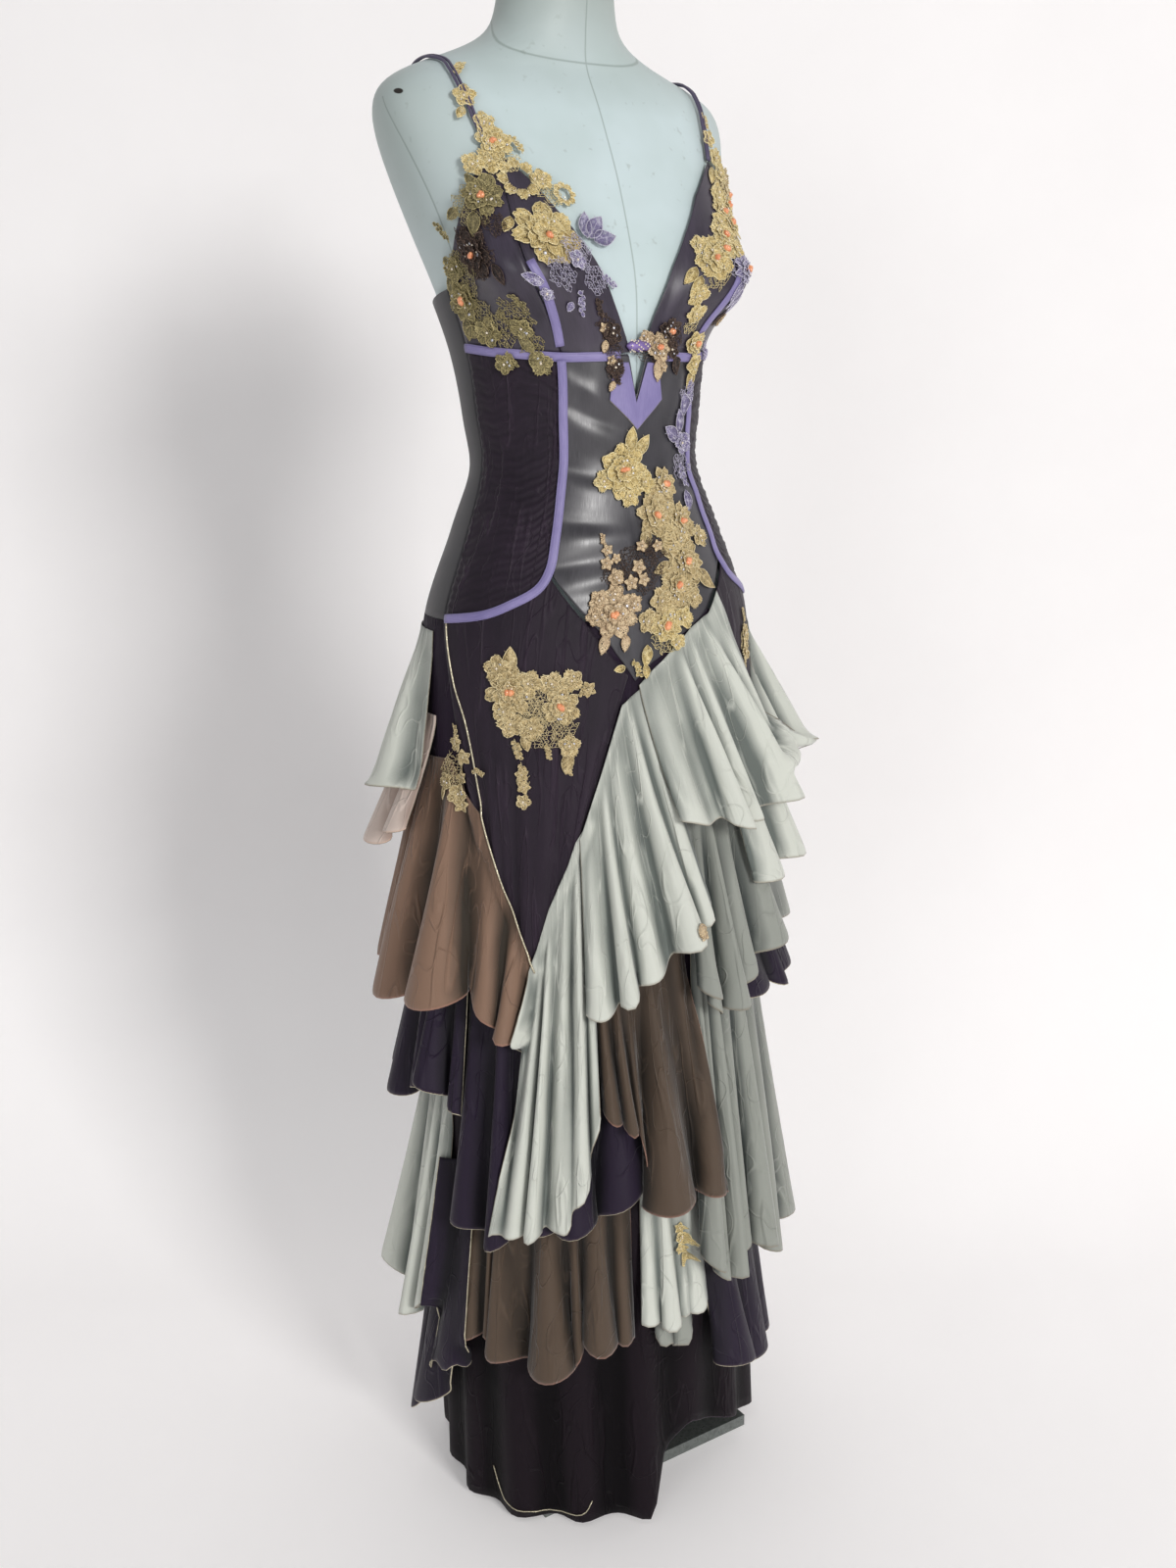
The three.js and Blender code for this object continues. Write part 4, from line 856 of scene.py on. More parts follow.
def makeBodice():
    laid = []
    for side, word in ((-1, "right"), (1, "left")):
        for name, cut in bodiceCuts.items():
            shape = bodiceShapes.get(name) or ruchedShape(side)
            lines = cut["lines"] if side > 0 else mirrored(cut["lines"])
            piece = layPiece("gown_" + name + "_" + word, lines, shape, None, cut["cell"], 0)
            clothFrom(piece, cut["finish"])
            wear(piece["thing"], name + "_" + word)
            laid.append(piece)
    front = layPiece("gown_centre_front", centreFront, centreShape, None, (3.1, 3.4), 0)
    clothFrom(front, "satinGrey")
    wear(front["thing"], "centre_front")
    for piece in laid + [front]:
        settle(piece)
    for name, lines in hipPanels.items():
        panel = layPiece("gown_" + name, lines, panelShape, 0.6, (5.0, 5.0))
        clothFrom(panel, "chiffonPlum")
        wear(panel["thing"], name)
        settle(panel)
    tab = layPiece("gown_keyhole_tab", keyholeTab, tabShape, 0.3, (1.2, 2.0))
    clothFrom(tab, "satinLilac")
    wear(tab["thing"], "keyhole_tab")
    edgeTube(tab, 0.55, "rolledSage")
    settle(tab)


makeBodice()
print("the bodice is sewn")

# Flounces, from the innermost to the outermost. One has folds, each with its start and its size, or a
# number of flutes. Its lines say how far along, then angle and height at the top and at the hem.
flounceLayers = [
    {
        "plum_low_left": {"finish": "plum", "flare": 24, "flutes": 4, "depth": 7,
            "lines": [[0, 9, 330, 11, 172], [0.4, 30, 330, 31, 134], [1, 76, 330, 74, 112]]},
        "plum_handkerchief": {"finish": "plum", "flare": 42, "flutes": 2, "depth": 7,
            "lines": [[0, -117, 340, -115, 52], [0.5, -98, 340, -96, 106], [1, -80, 340, -79, 156]]},
        "sage_low_under": {"finish": "shade", "flare": 15, "flutes": 2, "depth": 4,
            "lines": [[0, -10, 330, -11, 216], [0.5, -4, 330, -3, 200], [1, 4, 330, 3, 216]]},
        # brown_low wears the brown with painted shade.
        "brown_low": {"finish": "brownShade", "flare": 24, "depth": 12,
            "folds": [[0, 0.8], [0.13, 0.9], [0.2, 0.7], [0.47, 1.2], [0.7, 0.7], [0.78, 1.2], [0.92, 0.6]],
            "lines": [[0, -79.5, 420, -80, 202], [0.15, -66, 420, -66, 224], [0.3, -62, 420, -63, 200],
            [0.72, -37, 420, -36, 202], [0.78, -34, 420, -34, 228], [1, -17, 430, -18, 218]]},
    },
    {
        "sage_low_right": {"finish": "sage", "flare": 43, "depth": 13,
            "folds": [[0, 1.1], [0.42, 0.6], [0.62, 1.1], [0.8, 0.7]],
            "lines": [[0, -116, 500, -121, 264], [0.3, -108, 500, -112, 248], [0.5, -101, 500, -105, 206],
            [0.8, -92, 490, -94, 214], [1, -84, 480, -85, 262]]},
        "sage_low_centre": {"finish": "sage", "flare": 22, "flutes": 4, "depth": 6,
            "lines": [[0, -13, 430, -16, 240], [0.5, -4, 430, -5, 233], [1, 8, 430, 8, 236]]},
        "sage_low_back": {"finish": "sage", "flare": 34, "flutes": 11, "depth": 12,
            "lines": [[0, 77, 500, 78, 240], [0.3, 120, 500, 120, 262], [0.6, 170, 500, 170, 232],
            [1, 242, 500, 240, 256]]},
    },
    {
        "plum_corner": {"finish": "plum", "flare": 34, "flutes": 1, "depth": 6,
            "lines": [[0, -87, 400, -87, 166], [1, -72, 400, -72, 192]]},
        "sage_long_left": {"finish": "shade", "flare": 42, "depth": 13,
            "folds": [[0, 1.0], [0.1, 0.6], [0.2, 1.2], [0.28, 0.6], [0.44, 1.1], [0.56, 0.7], [0.78, 1.0]],
            "lines": [[0, 9, 640, 2, 302], [0.2, 15, 640, 10, 272], [0.4, 25, 640, 18, 300],
            [0.65, 44, 620, 34, 264], [1, 86, 620, 84, 248]]},
    },
    {
        "plum_middle": {"finish": "plum", "flare": 30, "depth": 12,
            "folds": [[0, 0.7], [0.26, 1.1], [0.4, 0.6], [0.66, 1.1], [0.84, 0.7]],
            "lines": [[0, -70, 640, -77, 345], [0.3, -58, 630, -60, 338], [0.6, -45, 620, -44, 355],
            [0.85, -28, 620, -28, 366], [1, -12, 620, -13, 396]]},
        "plum_left": {"finish": "plum", "flare": 42, "flutes": 5, "depth": 7,
            "lines": [[0, 14, 690, 15, 572], [0.45, 44, 700, 44, 556], [1, 98, 700, 100, 552]]},
        "plum_back": {"finish": "plum", "flare": 32, "flutes": 9, "depth": 12,
            "lines": [[0, 102, 650, 102, 470], [0.5, 172, 650, 172, 446], [1, 242, 650, 240, 462]]},
    },
    {
        "plum_right": {"finish": "plum", "flare": 30, "depth": 12,
            "folds": [[0, 1.0], [0.36, 0.7], [0.55, 1.1], [0.82, 0.6]],
            "lines": [[0, -116, 650, -118, 445], [0.35, -99, 650, -98, 464], [0.65, -86, 650, -84, 494],
            [1, -72, 640, -71, 462]]},
    },
    {
        # brown_middle wears the brown with painted shade.
        "brown_middle": {"finish": "brownShade", "flare": 36, "depth": 12,
            "folds": [[0, 0.8], [0.16, 1.1], [0.26, 0.4], [0.42, 1.25], [0.84, 0.5]],
            "lines": [[0, -26, 610, -25, 486], [0.3, -17, 620, -15, 452], [0.45, -12, 625, -13, 374],
            [0.75, -4, 640, -2, 378], [1, 5, 652, 10, 366]]},
        "brown_right": {"finish": "brown", "flare": 36, "depth": 13,
            "folds": [[0, 0.9], [0.15, 1.2], [0.42, 1.35], [0.72, 0.5], [0.9, 0.9]],
            "lines": [[0, -113, 810, -117, 585], [0.28, -95, 818, -99, 580], [0.52, -78, 822, -79, 591],
            [0.75, -62, 770, -64, 600], [0.88, -53, 690, -56, 565], [1, -45.5, 630, -49, 552]]},
        "brown_back": {"finish": "brown", "flare": 34, "flutes": 9, "depth": 12,
            "lines": [[0, 87, 810, 90, 592], [0.5, 172, 810, 172, 574], [1, 244, 810, 242, 588]]},
        "sage_middle_left": {"finish": "shade", "flare": 40, "depth": 13,
            "folds": [[0, 1.0], [0.12, 0.5], [0.24, 1.2], [0.33, 0.7], [0.48, 1.0], [0.7, 0.8]],
            "lines": [[0, 6, 750, 3, 600], [0.2, 13, 760, 9, 556], [0.36, 20, 770, 16, 582],
            [0.6, 36, 780, 32, 612], [1, 80, 790, 84, 594]]},
    },
    {
        "sage_hip_under_left": {"finish": "sage", "flare": 42, "depth": 12,
            "folds": [[0, 0.7], [0.24, 1.2], [0.42, 0.7], [0.72, 1.0]],
            "lines": [[0, 26, 830, 27, 676], [0.35, 46, 850, 50, 682], [1, 98, 870, 104, 692]]},
        "sage_cascade_low": {"finish": "sage", "flare": 38, "depth": 13,
            "folds": [[0, 0.8], [0.34, 1.1], [0.48, 0.6], [0.76, 1.1], [0.9, 0.6]],
            "lines": [[0, -46, 620, -58, 352], [0.4, -39, 680, -46, 358], [0.7, -32, 722, -37, 366],
            [0.86, -29, 745, -31, 400], [1, -25, 762, -26, 480]]},
        "sage_back_right": {"finish": "sage", "curl": 5, "flare": 33, "depth": 13,
            "folds": [[0, 0.9], [0.3, 1.1], [0.55, 0.6], [0.74, 1.1]],
            "lines": [[0, -152, 940, -154, 786], [0.5, -122, 942, -124, 770], [1, -92, 940, -88, 790]]},
        "facing_back_right": {"finish": "blush", "isAdded": True, "flare": 44, "depth": 9,
            "folds": [[0, 0.9], [0.4, 1.1], [0.75, 0.8]],
            "lines": [[0, -132, 860, -132, 738], [0.5, -114, 860, -114, 722], [1, -88, 860, -88, 752]]},
        "sage_back": {"finish": "sage", "flare": 40, "flutes": 7, "depth": 13,
            "lines": [[0, 112, 940, 114, 782], [0.5, 160, 940, 160, 764], [1, 206, 940, 204, 782]]},
    },
    {
        "sage_hip_left": {"finish": "sage", "curl": 5, "flare": 48, "depth": 13,
            "folds": [[0, 0.7], [0.22, 1.2], [0.36, 0.7], [0.56, 1.1], [0.76, 0.8]],
            "lines": [[0, 60, 880, 38, 784], [0.3, 64, 925, 54, 798], [0.65, 84, 944, 82, 790],
            [1, 120, 944, 122, 800]]},
        "sage_cascade_middle": {"finish": "sage", "flare": 38, "depth": 13,
            "folds": [[0, 0.5], [0.3, 1.1], [0.44, 0.5], [0.72, 1.2], [0.88, 0.8]],
            "lines": [[0, -27.5, 748, -28, 575], [0.35, -19.5, 810, -17, 590], [0.7, -12, 872, -4, 626],
            [1, -4, 888, 9, 668]]},
    },
    {
        "sage_cascade_top": {"finish": "sage", "flare": 42, "depth": 13,
            "folds": [[0, 0.35], [0.36, 1.15], [0.52, 0.6], [0.68, 1.25], [0.86, 0.7]],
            "lines": [[0, -6, 889, 0, 760], [0.3, 4, 918, 10, 748], [0.6, 12, 937, 24, 744],
            [0.85, 20, 948, 44, 756], [1, 27, 968, 56, 768]]},
    },
]
rolledEdges = {
    "hip_panel_right": {"sheet": "gown_hip_panel_right", "radius": 0.85, "path": [
        [-81.5, 951], [-79, 925], [-75, 893], [-69.5, 862], [-66, 828], [-62, 772], [-57, 726], [-52, 684],
        [-47.5, 645], [-44, 618]]},
    "underskirt_front": {"sheet": "gown_underskirt", "radius": 0.6, "path": [
        [-72, 48], [-69.5, 30], [-64, 17], [-54, 13], [-44, 13], [-37, 17], [-34, 30]]},
}
# Two finishes here are darker copies of sage and brown with painted shade, for tiers that hang in shade.
rolls = {
    "sage": ("chiffonSage", "chiffon_sage", "rolledSage", 0.45),
    "shade": ("chiffonSageShade", "chiffon_sage", "rolledSage", 0.45),
    "brown": ("chiffonBrown", "chiffon_brown", "rolledBrown", 0.5),
    "brownShade": ("chiffonBrownShade", "chiffon_brown", "rolledBrown", 0.5),
    "plum": ("chiffonDeep", "chiffon_plum", "rolledMetal", 0.75),
    "blush": ("chiffonBlush", "chiffon_sage", "rolledSage", 0.45),
}
blushInside = ("sage_hip_left", "sage_back_right", "sage_hip_under_left", "sage_back")
curledHem = {"from": 0.84, "part": 0.16, "turn": 2.5}  # where a hem curls, and how far it turns
creaseSpans = ((-0.8, 0.8), (-0.3, 0.3), (0.6, 1.5), (0.1, 0.6))  # a crease's place, slide, height and start


def foldsOf(cut, rng):  # where each fold starts and how far it stands out
    if "folds" in cut:
        starts, rises = (np.array(column, float) for column in zip(*cut["folds"]))
    else:
        gaps = rng.uniform(0.4, 1.7, cut["flutes"])
        starts = np.concatenate([[0], np.cumsum(gaps)[:-1]]) / gaps.sum()
        rises = rng.uniform(0.55, 1.3, len(gaps))
    return starts, rises


def flounceShape(cut, seed):
    rng = np.random.default_rng(seed)
    starts, rises = foldsOf(cut, rng)
    ends = np.append(starts[1:], 1.0)
    span = abs(cut["lines"][-1][3] - cut["lines"][0][3])
    width = span * 3.6
    folds = [{"start": a, "end": b, "rise": rise, "skew": rng.uniform(-0.45, 0.45),
              "from": rng.uniform(0, 0.25), "sway": (rng.uniform(-0.25, 0.25), rng.uniform(-0.25, 0.25)),
              "creases": [[rng.uniform(*limits) for limits in creaseSpans] for _ in range(3)]}
             for a, b, rise in zip(starts, ends, rises)]
    for before, after in zip(folds[:-1], folds[1:]):
        after["sway"] = (before["sway"][1], after["sway"][1])
    folds[0]["sway"] = (0, folds[0]["sway"][1])
    folds[-1]["sway"] = (folds[-1]["sway"][0], 0)

    def shape(u, v):
        ridge, lean, fine = (np.zeros_like(u * v) for _ in range(3))
        for fold in folds:
            wide = fold["end"] - fold["start"]
            drift = np.sin(3 * v + seed) * (v - 1) * wide
            left, right = fold["start"] + fold["sway"][0] * drift, fold["end"] + fold["sway"][1] * drift
            away = (2 * u - left - right) / (right - left)
            inside = np.abs(away) < 1
            bent = np.clip(away + fold["skew"] * (1 - away**2), -1, 1)
            begun = np.clip((v - fold["from"]) / (1 - fold["from"]), 0, 1)
            lobe = fold["rise"] * (0.5 + 0.5 * np.cos(math.pi * bent)) * inside
            ridge = np.maximum(ridge, lobe)
            over = bent * (1 - bent**2) * inside * begun
            lean = lean + 0.9 * over * fold["rise"] * 0.5 * wide * span * v**1.4
            for at, slide, tall, first in fold["creases"]:
                away = (u - (left + right) / 2 - (at + slide * v) * wide / 2) * width / 4.0
                fine = fine + tall * np.exp(-(away**2)) * np.clip((v - first) * 4, 0, 1) * (1.2 - v)
        out = air + cut["flare"] * v**1.15 + cut["depth"] * (2.5 * ridge - 0.9) * v**0.85
        out = out + fine + 3.5 * v * wobble(u, 0.3 * v, seed + 5, 0.5)
        out = out + 0.7 * wobble(u * 1.5, v * 3, seed + 2, 2.6) * (0.3 + v)
        lift = -3.0 * v**4 * (ridge - 0.4) + 7.0 * v**3 * wobble(u, 0.2 * v, seed + 3, 0.45)
        turned = np.clip((v - curledHem["from"]) / curledHem["part"], 0, 1) * curledHem["turn"]
        radius = cut.get("curl", 0) * np.clip(0.55 + 0.9 * wobble(u, 0 * v, seed + 6, 0.35), 0, 1)
        drop = curledHem["part"] * abs(cut["lines"][0][2] - cut["lines"][0][4])
        out = out + radius * (1 - np.cos(turned))
        curled = np.minimum(drop, curledHem["turn"] * radius) * turned / curledHem["turn"]
        lift = lift + (radius > 0) * curled - radius * np.sin(turned)
        return out, lean, lift
    return shape


def makeFlounces():
    seed = 40
    for layer in flounceLayers:
        laid = []
        for name, cut in layer.items():
            seed += 7
            material, slotName, roll, radius = rolls[cut["finish"]]
            coarse = density["back"] if name.endswith("_back") else 1
            cell = (density["across"] * coarse, density["down"] * coarse)
            piece = layPiece("gown_" + name, cut["lines"], flounceShape(cut, seed), clothing["gap"], cell)
            clothFrom(piece, material, "chiffonBlush" if name in blushInside else None)
            wear(piece["thing"], None if cut.get("isAdded") else name)
            edgeTube(piece, radius, roll, ends=True)
            laid.append(piece)
        for piece in laid:
            settle(piece)


def makeRolledEdges():  # metallic rolled edges that cross from one layer to another
    for name, edge in rolledEdges.items():
        angle, height = smoothPath(edge["path"], 4)
        out = readMap(spreadMap(1, 2), angle, height) + 0.6
        line = figurePoints(angle, height, out)
        sewRoll(made[edge["sheet"]], name, line, edge["radius"], "rolledMetal")


makeFlounces()
makeRolledEdges()
print("the flounces hang")

# Piping and straps
pipingPaths = {
    "piping_cup": [[33, 1270], [31.8, 1248], [32.3, 1225], [33, 1199]],
    "piping_underbust": [[84, 1200], [68, 1196], [50, 1192.5], [33, 1189.5], [20, 1189.5], [8, 1190]],
    "piping_side": [[33.2, 1187], [33.6, 1160], [34.8, 1116], [36, 1070], [36.4, 1028], [37.4, 1000],
                    [41, 983], [49.5, 971], [62, 960], [82.5, 954]],
}
pipingSize = {"width": 8.6, "rise": 1.9, "gap": 0.3}
pipingProfile = np.array([
    (-1, 0), (-0.96, 0.55), (-0.8, 0.86), (-0.74, 0.62), (-0.68, 0.9), (-0.35, 1.0), (0, 1.03),
    (0.35, 1.0), (0.68, 0.9), (0.74, 0.62), (0.8, 0.86), (0.96, 0.55), (1, 0),
])
strapPath = [
    [36.2, 1374], [37, 1396], [38.5, 1416], [45, 1438], [60, 1450], [90, 1456], [118, 1451], [136, 1438],
    [146, 1412], [150, 1370], [151, 1320], [151, 1270], [151, 1236],
]
strapSize = {"radius": 1.35, "apart": 3.1, "lift": 1.6}


def framesAlong(angle, height, out):
    here = figurePoints(angle, height, out)
    sideways = figurePoints(angle + 0.4, height, out) - here
    upwards = figurePoints(angle, height + 1, out) - here
    normal = np.cross(sideways, upwards)
    normal /= np.linalg.norm(normal, axis=-1, keepdims=True)
    ahead = np.gradient(here, axis=0)
    across = np.cross(ahead, normal)
    across /= np.linalg.norm(across, axis=-1, keepdims=True)
    return here, normal, across


def makePipe(name, path, side):
    angle, height = smoothPath(path, 4, side)
    below = readMap(spreadMap(1, 1), angle, height)
    for _ in range(3):
        below = np.convolve(np.pad(below, 1, mode="edge"), [0.25, 0.5, 0.25], "valid")
    here, normal, across = framesAlong(angle, height, below + pipingSize["gap"])
    half, rise = pipingSize["width"] / 2, pipingSize["rise"]
    puff = 1 + 0.05 * np.sin(np.arange(len(angle)) * 1.7)[:, None, None]
    ring = (here[:, None, :] + across[:, None, :] * pipingProfile[None, :, :1] * half
            + normal[:, None, :] * pipingProfile[None, :, 1:] * rise * puff)
    m, n = ring.shape[:2]
    i, j = np.meshgrid(np.arange(m - 1), np.arange(n), indexing="ij")
    start, beside = i * n + j, i * n + (j + 1) % n
    faces = np.stack([start, start + n, beside + n, beside], -1).reshape(-1, 4).tolist()
    faces += [list(range(n)), [(m - 1) * n + k for k in range(n)][::-1]]
    along = np.arange(m)[:, None] * 4.0 * np.ones((1, n))
    wide = np.linspace(0, 12, n)[None, :] * np.ones((m, 1))
    uv = np.stack([wide, along], -1).reshape(-1, 2) * 0.001
    thing = makeMesh("gown_" + name, ring.reshape(-1, 3), faces, uv)
    thing.data.materials.append(materials["satinLilac"])
    select(thing)
    bpy.ops.object.mode_set(mode="EDIT")
    bpy.ops.mesh.select_all(action="SELECT")
    bpy.ops.mesh.normals_make_consistent(inside=False)
    bpy.ops.object.mode_set(mode="OBJECT")
    wear(thing, name)
    row, column = mapCells(angle, height)
    for shift in (-2, -1, 0, 1, 2):
        np.maximum.at(reached, (row, (column + shift) % reached.shape[1]), below + rise + 0.3)


def makeStrap(name, side):  # two cords side by side
    angle, height = smoothPath(strapPath, 6, side)
    out = np.full(len(angle), air + strapSize["lift"] - 1.0)
    here, _, across = framesAlong(angle, height, out)
    spread = strapSize["apart"] / 2 * (0.75 + 0.45 * np.sin(np.linspace(0, 9, len(angle))))[:, None]
    heap = Heap()
    for which in (-1, 1):
        heap.add(*tubeAlong(here + across * which * spread, strapSize["radius"], 8))
    strap = heap.build("gown_" + name)
    strap.data.materials.append(materials["satinStrap"])
    wear(strap, name)


for side, word in ((-1, "right"), (1, "left")):
    for name, path in pipingPaths.items():
        makePipe(name + "_" + word, path, side)
    makeStrap("strap_" + word, side)
print("piping and straps are on")

# Lace: motifs cut out and sewn on, with beads
def turnFlat(x, y, z, turn):
    c, d = math.cos(turn), math.sin(turn)
    return np.stack([x * c - y * d, x * d + y * c, z], -1)


def petal(length, width, frill, waves, cup, turn, start=0.0, seed=0.0, count=(5, 7)):
    s = np.linspace(0, 1, count[0])[:, None]
    t = np.linspace(-1, 1, count[1])[None, :]
    edge = 1 + frill * np.cos(waves * math.pi * t + seed) * s**2
    half = width * (0.22 + 0.78 * np.sin(math.pi * (0.1 + 0.72 * s)) ** 0.8)
    y = start + length * s * (1 - 0.2 * t**2 * s) * edge
    ruffle = 0.8 * frill * length * np.sin(waves * math.pi * t + seed) * s**2
    return turnFlat(half * t * edge, y, cup * length * (0.6 * s * s + 0.5 * t**2 * s) + ruffle, turn)


def leafShape(length, width, turn, bend=0.0):
    s = np.linspace(0, 1, 7)[:, None]
    t = np.linspace(-1, 1, 3)[None, :]
    half = width * np.sin(math.pi * s**0.85) ** 0.9 + 0.15
    x = half * t + bend * length * s**2
    return turnFlat(x, length * s + 0 * t, 0.5 * np.abs(t) * np.sin(math.pi * s) + 0.2 * s, turn)


class Motif:  # patches, cords, net and beads in the motif's own flat place, in millimetres
    def __init__(self, seed):
        self.patches, self.cords, self.nets, self.beads = [], [], [], []
        self.seed, self.rng = seed, np.random.default_rng(seed)

    def patch(self, grid, lift=0.0, cord=0.6, vein=True):
        grid = grid + [0, 0, lift * 1.2]
        self.patches.append(grid)
        rim = np.concatenate([grid[:, 0], grid[-1, 1:-1], grid[::-1, -1]])
        self.cords.append((rim + [0, 0, 0.35], cord))
        middle = grid.shape[1] // 2
        veins = [(middle, 0.7)] if vein else []
        if vein and grid.shape[1] > 5:
            veins += [(middle - 2, 0.55), (middle + 2, 0.55)]
        for column, share in veins:
            self.cords.append((grid[1:-1, column] + [0, 0, 0.3], cord * share))

    def bead(self, kind, x, y, z, size):
        self.beads.append((kind, np.array([x, y, z]), size))

    def scatter(self, kind, count, reach, z, size):
        for _ in range(count):
            far, at = reach * math.sqrt(self.rng.uniform(0.05, 1)), self.rng.uniform(0, 2 * math.pi)
            self.bead(kind, far * math.cos(at), far * math.sin(at), z, size * self.rng.uniform(0.8, 1.2))


roseRings = (  # petals in a ring, their length, width, start and lift, and how cupped they are
    (7, 0.62, 0.30, 0.40, 0.3, 0.06), (6, 0.50, 0.24, 0.16, 1.1, 0.16), (5, 0.34, 0.16, 0.03, 1.9, 0.30),
)


def roseMotif(motif, size):
    rng = motif.rng
    for count, length, width, start, lift, cup in roseRings:
        shift = rng.uniform(0, 2 * math.pi)
        for k in range(count):
            turn = shift + k * 2 * math.pi / count + rng.uniform(-0.16, 0.16)
            grow = rng.uniform(0.84, 1.14)
            grid = petal(size * length * grow, size * width * rng.uniform(0.9, 1.2), rng.uniform(0.06, 0.13),
                         rng.integers(3, 6), cup, turn, size * start, rng.uniform(0, 6))
            motif.patch(grid, lift + 0.25 * (k % 2), 0.55)
    for _ in range(3):
        motif.bead("coral", rng.uniform(-0.1, 0.1) * size, rng.uniform(-0.1, 0.1) * size, 3.7, 2.7)
    motif.scatter("pearl", 5, size * 0.5, 2.6, 1.1)
    motif.scatter("sequin", 5, size * 0.7, 2.4, 1.5)


def openMotif(motif, size):
    rng = motif.rng
    shift = rng.uniform(0, 2 * math.pi)
    for k in range(5):
        turn = shift + k * 2 * math.pi / 5 + rng.uniform(-0.1, 0.1)
        grid = petal(size * 0.82, size * 0.40, 0.10, 3, 0.10, turn, size * 0.1, rng.uniform(0, 6))
        motif.patch(grid, 0.4 + 0.2 * (k % 2))
    for k in range(4):
        turn = shift + 0.5 + k * 2 * math.pi / 4
        motif.patch(petal(size * 0.4, size * 0.2, 0.08, 2, 0.2, turn, 0, 1.0, (4, 5)), 1.2, 0.32)
    motif.bead("pearl", 0, 0, 2.2, 1.3)
    motif.scatter("sequin", 2, size * 0.5, 1.6, 1.3)


def smallMotif(motif, size):
    for k in range(5):
        motif.patch(leafShape(size, size * 0.34, motif.seed * 0.7 + k * 2 * math.pi / 5), 0.4, 0.3, False)
    motif.bead("pearl", 0, 0, 1.4, 0.8)


def leafMotif(motif, size):
    motif.patch(leafShape(size * 1.5, size * 0.42, 0.0, 0.15), 0.4, 0.4)
    for k in range(4):
        y = size * (0.3 + 0.28 * k)
        reach = size * (0.30 - 0.05 * k)
        for side in (-1, 1):
            bend, tip = [side * reach * 0.6, y + size * 0.13, 0.9], [side * reach, y + size * 0.2, 0.8]
            motif.cords.append((np.array([[0, y, 0.8], bend, tip]), 0.2))


def sprigMotif(motif, size):
    rng = motif.rng
    s = np.linspace(0, 1, 9)
    stem = np.stack([size * rng.uniform(-0.25, 0.25) * np.sin(s * 4), size * 2 * s, 0.5 + 0 * s], -1)
    motif.cords.append((stem, 0.5))
    for k in range(1, 9):
        side = 1 if k % 2 else -1
        length, width = size * rng.uniform(0.42, 0.62), size * rng.uniform(0.16, 0.24)
        motif.patch(leafShape(length, width, -side * rng.uniform(0.6, 1.2)) + stem[k], 0.2, 0.3, False)


def netMotif(motif, size):
    rng = motif.rng
    cell = 3.3
    count = int(size / cell) + 2
    nodes = {}
    for row in range(-count, count + 1):
        for column in range(-count, count + 1):
            x, y = cell * (column + 0.5 * (row % 2)), cell * 0.86 * row
            if x**2 + y**2 < (size * (1 + 0.12 * math.sin(5 * math.atan2(y, x) + motif.seed))) ** 2:
                moved = np.append(rng.uniform(-0.25, 0.25, 2) * cell, 0)
                nodes[(row, column)] = np.array([x, y, 0.35]) + moved
    for (row, column), here in nodes.items():
        odd = row % 2
        for other in ((row, column + 1), (row + 1, column + odd), (row + 1, column - 1 + odd)):
            if other in nodes and rng.uniform() < 0.72:
                motif.nets.append((here, nodes[other]))


def groundMotif(motif, size):  # a stitched patch crossed by wavy cords, under the flowers
    steps = np.linspace(-1, 1, 9)
    s, t = steps[:, None], steps[None, :]
    x, y = s * np.sqrt(1 - t * t / 2), t * np.sqrt(1 - s * s / 2)
    swell = size * (1 + 0.12 * np.sin(5 * np.arctan2(y, x) + motif.seed))
    motif.patch(np.stack([y * swell, x * swell, 0.1 + 0 * x], -1), 0, 0.5, False)
    for row in np.arange(-size * 0.85, size * 0.9, 2.9):
        reach = math.sqrt(max(size**2 - row**2, 9)) * 0.95
        across = np.linspace(-reach, reach, 9)
        line = np.stack([across, row + 0.9 * np.sin(across * 0.5 + motif.seed), 0.75 + 0 * across], -1)
        motif.cords.append((line, 0.48))
    motif.scatter("sequin", 3, size * 0.7, 1.5, 1.1)


def ringMotif(motif, size):
    for k in range(8):
        grid = petal(size * 0.5, size * 0.28, 0.12, 4, 0.08, k * math.pi / 4, size * 0.52,
                     motif.rng.uniform(0, 6))
        motif.patch(grid, 0.4 + 0.3 * (k % 2))
    motif.scatter("pearl", 3, size, 1.8, 1.0)


